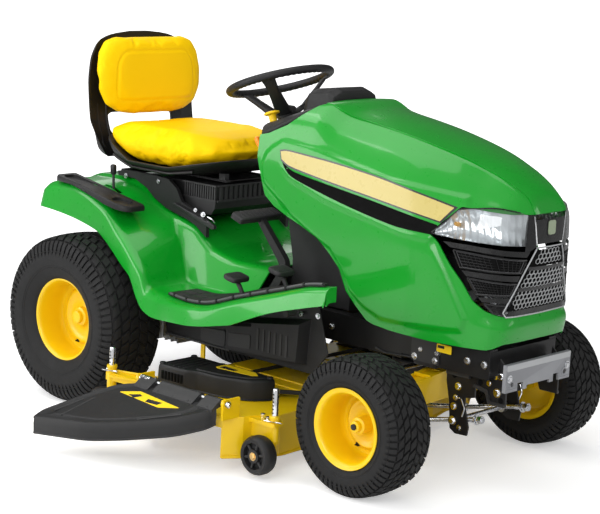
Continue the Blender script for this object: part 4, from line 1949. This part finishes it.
# ------------------------------------------------------------------ gauge wheels
def gauge_wheel(name):
    """Ribbed wheel that fills the box of its CAD node."""
    node = NODES[f"gauge_wheel_{name}"]
    box = np.array([node.matrix_world @ Vector(c) for c in node.bound_box]) * 1000
    low, high = box.min(0), box.max(0)
    x, y, z = (low + high) / 2 - (ORIGIN_X, ORIGIN_Y, 0)
    half, r = (high - low)[1:] / 2
    piece = Piece(BLACK, BRASS)
    piece.lathe([
        (11, -half * 0.95), (20, -half * 0.95), (22, -half * 0.5), (r - 22, -half * 0.42),
        (r - 19, -half * 0.93), (r - 9, -half), (r - 3, -half * 0.72), (r, -half * 0.35),
        (r, half * 0.35), (r - 3, half * 0.72), (r - 9, half), (r - 19, half * 0.93),
        (r - 22, half * 0.42), (22, half * 0.5), (20, half * 0.95), (11, half * 0.95),
        (11, -half * 0.95)], 56, (x, y, z), "Y")
    for k in range(6):
        c, d = cos(radians(60 * k + 15)), sin(radians(60 * k + 15))
        for s in (-1, 1):
            face_y = y + s * half * 0.66
            piece.tube([(x + reach * d, face_y, z + reach * c) for reach in (20, r - 19)],
                       4.0, 8)
    for s in (-1, 1):
        piece.bolt((x, y + s * half * 0.93, z), (0, s, 0), 8.5, 6, BRASS)
    piece.build(f"gauge_wheel_{name}_moulded", f"gauge_{name}", "black_plastic", angle=35,
                replaces=(f"gauge_wheel_{name}",))


for name in ("front_right", "front_left", "rear_right", "rear_left"):
    gauge_wheel(name)

# ------------------------------------------------------------------ side shields
for s, side in SIDES:
    finish_cad(f"side_shield_{side}", BLACK, 2.5, 3, 25)
    shield = Piece(BLACK, DARK, STEEL)
    shield.prism(rounded([(612, 352), (700, 366), (700, 376), (612, 362)], 3), "XZ",
                 s * 325, s * 327.6, DARK)
    for i in range(6):
        x = 726 + i * 24
        shield.prism(rounded([(x, 300), (x + 9, 301), (x + 9, 368), (x, 366)], 3), "XZ",
                     s * 325, s * 328.2)
    shield.prism(rounded([(606, 288), (700, 296), (700, 340), (606, 330)], 6), "XZ",
                 s * 325, s * 328.4)
    shield.tube([(288, s * 292, 262), (580, s * 292, 262)], 4, 10)
    shield.tube([(300, s * 291, 338), (400, s * 291, 346), (590, s * 291, 398)], 4, 10)
    for x, z in ((330, 322), (420, 330), (540, 368)):
        shield.bolt((x, s * 291, z), (0, s, 0), 6, 6, STEEL)
    shield.bolt((590, s * 312, 392), (0, s, 0.2), 5.5, 5, STEEL)
    shield.bolt((880, s * 300, 436), (0, s, 0.2), 5.5, 5, STEEL)
    shield.bolt((940, s * 291, 440), (0, s, 0), 6, 6, STEEL)
    shield.prism(rounded([(452, 270), (560, 270), (560, 322), (452, 312)], 8), "XZ",
                 s * 289, s * 296)
    shield.build(f"side_shield_{side}_details", "chassis", "black_plastic", angle=35)

# ------------------------------------------------------------------ front axle and steering
KINGPIN_Y = 305
TIE_ROD_X = 1180
finish_cad("front_axle", YELLOW, 5, 3, 25)
axle = Piece(YELLOW, STEEL)
for s in (-1, 1):
    for end in (-1, 1):
        # y, near and far distance from the axle's middle, bottom and top z
        axle.loft([[(WHEELBASE + end * near, s * y, low), (WHEELBASE + end * far, s * y, low),
                    (WHEELBASE + end * far, s * y, high), (WHEELBASE + end * near, s * y, high)]
                   for y, near, far, low, high in (
                       (40, 22, 34, 300, 322), (200, 20, 30, 288, 302),
                       (280, 14, 20, 280, 292))])
    axle.lathe([(12.4, 224), (25, 224), (26, 227), (25, 234), (24, 286), (26, 291), (25, 297),
                (12.4, 297)], 36, (WHEELBASE, s * KINGPIN_Y, 0), "Z")
    for y in (90, 160):
        axle.prism(rounded(flip(s, [
            (WHEELBASE - 29, y), (WHEELBASE + 29, y), (WHEELBASE + 29, y + 8),
            (WHEELBASE - 29, y + 8)]), 2), "XY", 300, 311)
axle.lathe([(11.2, -47), (26, -47), (28, -44), (28, 44), (26, 47), (11.2, 47)], 36,
           (WHEELBASE, 0, 272), "X")
axle.bolt((WHEELBASE + 47, 0, 272), (1, 0, 0), 14, 10, STEEL)
axle.build("front_axle_ribs", "axle", "yellow_paint", angle=35)

for s, side in SIDES:
    finish_cad(f"spindle_{side}", STEELBLK, 1.5, 2, 25)
    spindle = Piece(STEELBLK, STEEL)
    kingpin = (WHEELBASE, s * KINGPIN_Y, 0)
    spindle.lathe([(10.9, 206), (21, 206), (24, 212), (24, 220), (20, 223), (10.9, 223)], 32,
                  kingpin, "Z")
    spindle.lathe([(0, 321), (13, 321), (14, 316), (14, 308), (11, 306.5), (0, 306.5)], 28,
                  kingpin, "Z", STEEL)
    spindle.lathe([(0, 326), (4, 325.5), (5, 321), (0, 321)], 16, kingpin, "Z", STEEL)
    spindle.lathe([(9.6, s * 330), (16, s * 332), (18, s * 344), (12, s * 350), (9.6, s * 350)],
                  28, (WHEELBASE, 0, FRONT_HUB_Z), "Y")
    spindle.prism(rounded(flip(s, [
        (WHEELBASE - 6, KINGPIN_Y - 10), (WHEELBASE + 6, KINGPIN_Y - 10), (TIE_ROD_X, 281),
        (1172, 289)]), 2), "XY", 305, 312)
    spindle.build(f"spindle_{side}_fittings", f"spindle_{side}", "black_steel", angle=40)

tie_rod = Piece(STEEL, CHROME, STEELBLK)
tie_rod.tube([(TIE_ROD_X, -262, 315), (TIE_ROD_X, 262, 315)], 7.2, 20)
for s in (-1, 1):
    joint = (TIE_ROD_X, s * 285, 0)
    tie_rod.tube([(TIE_ROD_X, s * y, 315) for y in (236, 262, 276)], [9.5, 9.5, 8.5], 6, CHROME)
    tie_rod.lathe([(0, 331), (6, 330.5), (12, 328), (14, 322), (14, 315), (12, 310), (8, 308),
                   (0, 308)], 28, joint, "Z", STEELBLK)
    tie_rod.lathe([(0, 308), (5, 308), (5, 296), (0, 296)], 16, joint, "Z")
    tie_rod.bolt((TIE_ROD_X, s * 285, 330), (0, 0, 1), 7, 7, CHROME)
tie_rod.build("tie_rod_with_ends", "tie_rod", "bare_steel", angle=40, replaces=("tie_rod",))

# ------------------------------------------------------------------ draft rods
ROD_Y = 112
draft = Piece(STEEL, CHROME)
for s in (-1, 1):
    y = s * ROD_Y
    draft.tube(bend([(1436, y, 204.6), (1340, y, 185), (1200, y, 152), (1012, y, 118),
                     (994, s * 114, 113)], 24, 6), 7.0, 20)
    # thread, nuts and washer at the front end: distance along, length, radius, sides
    along = Vector((96, 0, 19.6)).normalized()
    for start, length, radius, sides in [(k * 3.1, 1.5, 8.0, 18) for k in range(16)] + [
            (30, 8, 12.5, 6), (40, 8, 12.5, 6), (25, 3, 16, 24)]:
        point = Vector((1386, y, 194.4)) + along * start
        draft.tube([point, point + along * length], radius, sides, CHROME)
    # trunnion that pivots in the bracket
    draft.tube([(1340, s * 98, 185), (1340, s * 136, 185)], 8.0, 22, CHROME)
    draft.tube([(1340, s * 101, 185), (1340, s * 122, 185)], 15, 24)
    draft.bolt((1340, s * 133, 185), (0, s, 0), 10, 7, CHROME)
    draft.tube([(994, s * 106, 112), (994, s * 121, 112)], 11, 22)
    draft.tube([(1200, y, 141), (1200, y, 163)], 8.5, 16)
draft.tube([(1340, -104, 185), (1340, 104, 185)], 7, 20)
draft.build("draft_rods_bent", "draft", "bare_steel", angle=40, replaces=("draft_rods",))

# ------------------------------------------------------------------ front bracket and bumper
finish_cad("front_bracket", STEELBLK, 1.2, 2, 25)
bracket = Piece(STEELBLK, CHROME, DARK)
for s in (-1, 1):
    y = s * 130
    for x, z, r in ((1340, 228, 8), (1345, 255, 6), (1352, 290, 8), (1490, 300, 9),
                    (1500, 350, 8), (1460, 322, 6), (1364, 168, 6)):
        bracket.bolt((x, y, z), (0, s, 0), r, r * 0.8, CHROME)
    for x, z in ((1430, 318), (1336, 320), (1504, 280)):
        bracket.lathe([(0, y + s * 0.3), (8.5, y + s * 0.3), (8.5, y + s * 0.8),
                       (0, y + s * 0.8)], 24, (x, 0, z), "Y", DARK)
    bracket.prism(rounded([(1312, 322), (1396, 322), (1396, 336), (1312, 336)], 3), "XZ",
                  s * 129, s * 140)
    bracket.prism(rounded([(1405, 300), (1450, 292), (1462, 262), (1520, 262), (1520, 272),
                           (1470, 272), (1458, 302), (1410, 310)], 4), "XZ", s * 129, s * 134)
    bracket.tube(bend(flip(s, [(1352, 136, 255), (1372, 142, 262), (1386, 140, 232),
                               (1376, 136, 206)]), 8), 2.2, 8, CHROME)
bracket.build("front_bracket_fasteners", "chassis", "black_steel", angle=35)

finish_cad("bumper_plate", GREY, 1.8, 3, 25)
bumper = Piece(GREY, PALE, STEEL)
bumper.prism(rounded([(-153, 374), (153, 374), (155, 391), (-155, 391)], 4), "YZ",
             1535.4, 1537.2, PALE)
for y in (-128, 128):
    bumper.lathe([(7.2, 1535.5), (11.5, 1535.5), (11.5, 1537.6), (7.2, 1537.6)], 28,
                 (0, y, 334), "X")
for y in (-140, 140):
    bumper.bolt((1536, y, 352), (1, 0, 0), 8, 6, STEEL)
bumper.tube([(1536.4, -150, 318), (1536.4, -104, 318)], 2.0, 8)
bumper.tube([(1536.4, 104, 318), (1536.4, 150, 318)], 2.0, 8)
bumper.build("bumper_fittings", "chassis", "grey_plate", angle=35)

# ------------------------------------------------------------------ chassis frame fittings
finish_cad("frame", STEELBLK, 1.0, 2, 25)
chassis = Piece(STEELBLK, STEEL, LABEL, DECALDK)
for s in (-1, 1):
    for x in (1460, 1400, 1290, 1230, 880, 600, 260, -180):
        chassis.bolt((x, s * 159.2, 380), (0, s, 0), 8, 6, STEEL)
    chassis.prism(rounded([(1196, 344), (1300, 344), (1300, 414), (1196, 414)], 6), "XZ",
                  s * 159.3, s * 163)
    for x in (1210, 1286):
        chassis.bolt((x, s * 163, 356), (0, s, 0), 7, 6, STEEL)
    chassis.prism(rounded([(1290, 386), (1344, 386), (1344, 410), (1290, 410)], 3), "XZ",
                  s * 163.2, s * 164.0, LABEL)
    chassis.prism(rounded([(1294, 398), (1318, 398), (1318, 406), (1294, 406)], 2), "XZ",
                  s * 164.0, s * 164.5, DECALDK)
    chassis.tube(bend(flip(s, [(1060, 162, 350), (1100, 164, 342), (1190, 164, 350),
                               (1320, 150, 345), (1400, 146, 352)]), 16), 3.4, 8)
chassis.tube([(-305, 0, 304), (-305, 0, 314)], 10, 24, STEEL)
for y in (-50, 50):
    chassis.bolt((-262, y, 312.4), (0, 0, 1), 8, 7, STEEL)
chassis.build("frame_fittings", "chassis", "black_steel", angle=35)

# ------------------------------------------------------------------ engine
ENGINE_X = 1090
FAN_CENTRE_X = ENGINE_X + 10
engine = Piece(IRON, BLACK, STEEL, ALLOY)
engine.lathe([(0, 426), (120, 426), (126, 430), (130, 440), (131, 560), (118, 571), (0, 571)],
             56, (ENGINE_X, 0, 0), "Z", ALLOY)
engine.prism(rounded([(1002, -94), (1248, -94), (1248, 94), (1002, 94)], 14), "XY", 446, 559,
             ALLOY)
for s in (-1, 1):
    # cooling fins that shrink and rise a little outward
    for k in range(14):
        y = 96 + k * 5.6
        t = (y - 30) / 148
        x0, x1, z0, z1 = 1121 + 4 * t, 1239 - 4 * t, 471 + 9 * t, 561 + 13 * t
        engine.prism(rounded([(x0, z0), (x1, z0), (x1, z1), (x0, z1)], 8), "XZ",
                     s * y, s * (y + 2.6), ALLOY)
    engine.prism(rounded([(1140, 490), (1220, 490), (1220, 552), (1140, 552)], 10), "XZ",
                 s * 90, s * 176, ALLOY)
    engine.prism(rounded([(1126, 482), (1234, 482), (1234, 572), (1126, 572)], 14), "XZ",
                 s * 166, s * 177.5, BLACK)
    for x, z in ((1138, 494), (1222, 494), (1138, 560), (1222, 560)):
        engine.bolt((x, s * 176.5, z), (0, s, 0), 5, 4, STEEL)
    engine.tube(bend(flip(s, [(1180, 177, 536), (1180, 150, 590), (1160, 120, 600)]), 10),
                4.5, 10, BLACK)
engine.lathe([(0, 561), (148, 561), (152, 566), (159, 582), (159.5, 636), (150, 652),
              (134, 667), (90, 671), (86, 668), (60, 668), (54, 673), (0, 674)], 64,
             (FAN_CENTRE_X, 0, 0), "Z", BLACK)
for k in range(48):
    c, d = cos(2 * pi * k / 48), sin(2 * pi * k / 48)
    engine.tube([(FAN_CENTRE_X + 62 * c, 62 * d, 669.5), (FAN_CENTRE_X + 84 * c, 84 * d, 670.5)],
                1.6, 6, BLACK)
engine.prism(rounded([(1182, -89), (1329, -89), (1329, 89), (1182, 89)], 18), "XY", 561, 652,
             BLACK)
engine.prism(rounded([(1190, -80), (1320, -80), (1320, 80), (1190, 80)], 20), "XY", 650, 659.5,
             BLACK)
for y in (-50, 50):
    engine.bolt((1300, y, 659), (0, 0, 1), 8, 8, BLACK)
engine.tube([(ENGINE_X, 0, 232.5), (ENGINE_X, 0, 430)], 12, 24, STEEL)
engine.tube(bend([(1002, -60, 500), (975, -60, 500), (975, -60, 600), (985, -60, 660)], 12),
            7, 12, BLACK)
engine.tube(bend([(1002, 50, 470), (972, 70, 470), (965, 90, 520)], 12), 5, 10, STEEL)
engine.build("engine_assembly", "chassis", "engine_iron", angle=40, replaces=("engine",))

muffler = Piece(STEEL)
muffler.lathe([(0, -105), (36, -104), (41, -100), (42, -92), (42, -50), (41, -48), (41, 48),
               (42, 50), (42, 92), (41, 100), (36, 104), (0, 105)], 44, (1400, 0, 520), "Y")
muffler.tube(bend([(1400, 60, 482), (1400, 60, 458), (1404, 60, 446)], 10), 13, 24)
muffler.tube(bend([(1400, -60, 520), (1372, -60, 520), (1351, -60, 520)], 8), 13, 24)
for y in (-92, 92):
    muffler.tube([(1400 + 43 * cos(t), y, 520 + 43 * sin(t))
                  for t in np.linspace(0, 2 * pi, 40)], 1.6, 8)
muffler.build("muffler_rolled", "chassis", "bare_steel", angle=35, replaces=("muffler",))

clutch = Piece(IRON)
clutch.lathe([(13.6, 170), (52, 170), (54.5, 173), (54.5, 178), (44, 182), (44, 192),
              (54.5, 196), (54.5, 258), (58, 262), (72, 265), (74, 270), (74, 300), (71, 304),
              (13.6, 304), (13.6, 170)], 64, (ENGINE_X, 0, 0), "Z")
for k in range(12):
    x, y = ENGINE_X + 74.2 * cos(2 * pi * k / 12), 74.2 * sin(2 * pi * k / 12)
    clutch.tube([(x, y, 272), (x, y, 298)], 2.0, 8)
clutch.build("pto_clutch_turned", "pto", "engine_iron", angle=35, replaces=("pto_clutch",))

# ------------------------------------------------------------------ transaxle and fuel tank
finish_cad("transaxle", ALLOY, 6, 3, 25)
transaxle = Piece(ALLOY, BLACK)
for k in range(9):
    x = -104 + k * 30
    for s in (-1, 1):
        transaxle.prism(rounded([(x, 184), (x + 5, 184), (x + 5, 318), (x, 318)], 2), "XZ",
                        s * 104, s * 112)
    transaxle.box(x, x + 5, -100, 100, 168.5, 177)
for s in (-1, 1):
    for y in (130, 170, 210):
        transaxle.tube([(0, s * y, REAR_HUB_Z), (0, s * (y + 6), REAR_HUB_Z)], 44, 32)
    transaxle.tube([(0, s * 236, REAR_HUB_Z), (0, s * 249, REAR_HUB_Z)], 48, 32)
transaxle.tube([(95, 0, z) for z in (336, 342, 348, 396, 402)], [14, 44, 40, 40, 44], 40, BLACK)
for k in range(8):
    a, z = 2 * pi * k / 8, 352 + 5 * (k % 2)
    transaxle.tube([(95, 0, z), (95 + 60 * cos(a), 60 * sin(a), z)], [9, 7], 6, BLACK)
transaxle.build("transaxle_ribs", "chassis", "cast_alloy", angle=35)

finish_cad("fuel_tank", BLACK, 10, 4, 25)
tank = Piece(BLACK)
for x in (-150, -60, 40):
    for s in (-1, 1):
        tank.tube([(x, s * 176, 470), (x, s * 176, 588), (x + 2, s * 162, 622)], 4, 8)
tank.lathe([(24.2, 700), (28, 700), (28, 714), (24.2, 714)], 36, (-120, 262, 0), "Z")
tank.lathe([(27.4, 718.6), (44, 717.4), (47, 716.0), (47, 713.5), (27.4, 714.5)], 44,
           (-120, 262, 0), "Z")
tank.tube(bend([(120, 60, 444), (150, 60, 430), (220, 80, 436), (300, 110, 440)], 14), 4.5, 10)
tank.build("fuel_tank_ribs_and_neck", "chassis", "black_plastic", angle=35)

# ------------------------------------------------------------------ lift shaft, blades and belt
finish_cad("lift_shaft", STEELBLK, 1.2, 2, 25)
lift = Piece(STEELBLK, STEEL)
for s in (-1, 1):
    lift.lathe([(12.2, s * 246), (19, s * 247), (20, s * 252), (20, s * 260), (12.2, s * 261.5)],
               28, (330, 0, 360), "Y")
    lift.bolt((446, s * 268.5, 330), (0, s, 0), 7, 5, STEEL)
lift.build("lift_shaft_bosses", "lift", "black_steel", angle=35)

# blade stations: distance out, lift of the rear edge, half width
BLADE = ((16, 0, 25), (80, 0, 26.5), (120, 0, 26.5), (150, 5, 26.5), (175, 10, 26),
         (194, 12, 22))
for name, x, y in SPINDLES:
    blade = Piece(STEEL, ALLOY)
    for end in (-1, 1):
        blade.loft([[(x + end * out, y + end * across, z) for across, z in (
            (-half, 58), (half * 0.6, 58), (half, 58 + rise), (half, 62 + rise),
            (half * 0.5, 62), (6 - half, 62), (-half, 59))] for out, rise, half in BLADE])
    blade.box(x - 20, x + 20, y - 25, y + 25, 57.6, 62.4)
    blade.tube([(x, y, 62), (x, y, 206)], 12, 24)
    blade.tube([(x, y, 50.5), (x, y, 57.8)], 15, 6, ALLOY)
    blade.tube([(x, y, 56.5), (x, y, 58.2)], 24, 28, ALLOY)
    blade.lathe([(12, 180), (58, 180), (60, 181), (60, 183), (46, 187), (60, 191), (60, 193.5),
                 (58, 195), (12, 195)], 56, (x, y, 0), "Z", ALLOY)
    blade.tube([(x, y, 195), (x, y, 205)], 14, 6, ALLOY)
    blade.build(f"blade_spindle_{name}_forged", f"blade_{name}", "bare_steel", angle=35,
                replaces=(f"blade_spindle_{name}",))
finish_cad("deck_belt", BELT, 1.2, 2, 20)

# ------------------------------------------------------------------ rear panel trim
trim = Piece(ORANGE, STEEL, BLACK)
for s in (-1, 1):
    trim.prism(rounded([(s * 232, 622), (s * 340, 622), (s * 334, 652), (s * 236, 654)], 8),
               "YZ", -255, -251.5)
    for y in (180, 360):
        trim.bolt((-251.5, s * y, 640), (-1, 0, 0), 5, 4, STEEL)
trim.prism(rounded([(-120, 560), (120, 560), (128, 596), (-128, 596)], 8), "YZ", -233, -229.5,
           BLACK)
trim.build("rear_panel_trim", "chassis", "black_plastic", angle=35)


# ------------------------------------------------------------------ floor, world and lights
def floor():
    """White floor that glows towards its far parts and is clear from below."""
    mat = material("floor_white", (0.93, 0.93, 0.93), rough=0.7, mottle=0.0, spec=0.1)
    tree = mat.node_tree
    link = tree.links.new
    geometry = add_node(tree, "ShaderNodeNewGeometry")
    distance = add_node(tree, "ShaderNodeVectorMath", operation="LENGTH")
    link(geometry.outputs["Position"], distance.inputs[0])
    # only the camera sees the glow, which grows from 2.2 to 5 m
    glow = map_range(tree, distance.outputs["Value"], 2.2, 5.0, 0.42, 1.1)
    rays = add_node(tree, "ShaderNodeLightPath")
    seen = add_node(tree, "ShaderNodeMath", operation="MULTIPLY")
    link(glow, seen.inputs[0])
    link(rays.outputs["Is Camera Ray"], seen.inputs[1])
    emission = add_node(tree, "ShaderNodeEmission")
    link(seen.outputs[0], emission.inputs["Strength"])
    total = add_node(tree, "ShaderNodeAddShader")
    link(tree.nodes["Principled BSDF"].outputs[0], total.inputs[0])
    link(emission.outputs[0], total.inputs[1])
    clear = add_node(tree, "ShaderNodeBsdfTransparent")
    mix = add_node(tree, "ShaderNodeMixShader")
    link(geometry.outputs["Backfacing"], mix.inputs[0])
    link(total.outputs[0], mix.inputs[1])
    link(clear.outputs[0], mix.inputs[2])
    link(mix.outputs[0], tree.nodes["Material Output"].inputs[0])
    corners = [(-30000, -30000, 0), (30000, -30000, 0), (30000, 30000, 0), (-30000, 30000, 0)]
    make("floor", (corners, [(0, 1, 2, 3)]), mat, smooth=False)


def studio_world():
    """Soft dome, brighter above and on the camera's side; the camera sees plain white."""
    world = bpy.data.worlds.new("studio")
    bpy.context.scene.world = world
    world.use_nodes = True
    tree = world.node_tree
    link = tree.links.new
    dome = tree.nodes["Background"]
    dome.inputs["Strength"].default_value = 0.60
    coords = add_node(tree, "ShaderNodeTexCoord")
    split = add_node(tree, "ShaderNodeSeparateXYZ")
    link(coords.outputs["Generated"], split.inputs[0])
    height = map_range(tree, split.outputs["Z"], -0.1, 0.9, 0.85, 1.0)
    facing = add_node(tree, "ShaderNodeVectorMath", operation="DOT_PRODUCT")
    facing.inputs[1].default_value = (0.45, -0.89, 0.0)
    link(coords.outputs["Generated"], facing.inputs[0])
    side = map_range(tree, facing.outputs["Value"], -0.7, 0.7, 0.18, 1.2)
    both = add_node(tree, "ShaderNodeMath", operation="MULTIPLY")
    link(height, both.inputs[0])
    link(side, both.inputs[1])
    link(both.outputs[0], dome.inputs["Color"])
    white = add_node(tree, "ShaderNodeBackground", Color=(1, 1, 1, 1), Strength=1.1)
    rays = add_node(tree, "ShaderNodeLightPath")
    mix = add_node(tree, "ShaderNodeMixShader")
    link(rays.outputs["Is Camera Ray"], mix.inputs[0])
    link(dome.outputs[0], mix.inputs[1])
    link(white.outputs[0], mix.inputs[2])
    link(mix.outputs[0], tree.nodes["World Output"].inputs[0])


# softboxes in metres and watts: place, target, width, height, power
SOFTBOXES = [
    ((0.2, -0.4, 3.8), (0.6, 0.0, 0.4), 2.6, 3.4, 52),
    ((2.2, -3.6, 2.1), (0.7, 0.0, 0.6), 2.2, 1.6, 60),
    ((-1.5, -3.1, 1.6), (0.8, -0.2, 0.7), 2.4, 1.9, 54),
    ((-1.3, -1.6, 3.3), (0.8, -0.2, 0.9), 1.7, 1.4, 26),
    ((3.6, 1.6, 1.7), (1.0, 0.0, 0.5), 1.4, 1.6, 16),
    ((-2.6, 2.6, 2.4), (0.4, 0.0, 0.6), 2.0, 2.0, 15)]

floor()
studio_world()
for location, target, width, height, power in SOFTBOXES:
    light = bpy.data.lights.new("softbox", "AREA")
    light.shape = "RECTANGLE"
    light.size = width
    light.size_y = height
    light.energy = power
    softbox = new_object("softbox", light)
    softbox.location = Vector(location) + Vector((ORIGIN_X, ORIGIN_Y, 0)) * 0.001
    aim = Vector(target) - Vector(location)
    softbox.rotation_euler = aim.to_track_quat("-Z", "Y").to_euler()

# ------------------------------------------------------------------ camera
azimuth, elevation, roll = radians(42.5736656961), radians(10.7940171876), radians(2.83742889824)
CAMERA_PLACE = (4.330664, -4.073677, 1.583506)     # metres from under the rear axle
backward = Vector((sin(azimuth) * cos(elevation), -cos(azimuth) * cos(elevation),
                   sin(elevation)))
level = Vector((cos(azimuth), sin(azimuth), 0))
upright = backward.cross(level)
right = level * cos(roll) + upright * sin(roll)
up = upright * cos(roll) - level * sin(roll)
camera_data = bpy.data.cameras.new("camera")
camera_data.sensor_width = 36.0
camera_data.lens = 105.6365166
camera_data.clip_start, camera_data.clip_end = 0.05, 200
camera = new_object("camera", camera_data)
camera.matrix_world = Matrix((
    (right.x, up.x, backward.x, CAMERA_PLACE[0] + ORIGIN_X * 0.001),
    (right.y, up.y, backward.y, CAMERA_PLACE[1] + ORIGIN_Y * 0.001),
    (right.z, up.z, backward.z, CAMERA_PLACE[2]),
    (0, 0, 0, 1)))
scene = bpy.context.scene
scene.camera = camera
scene.view_settings.view_transform = "Standard"
scene.view_settings.look = "None"
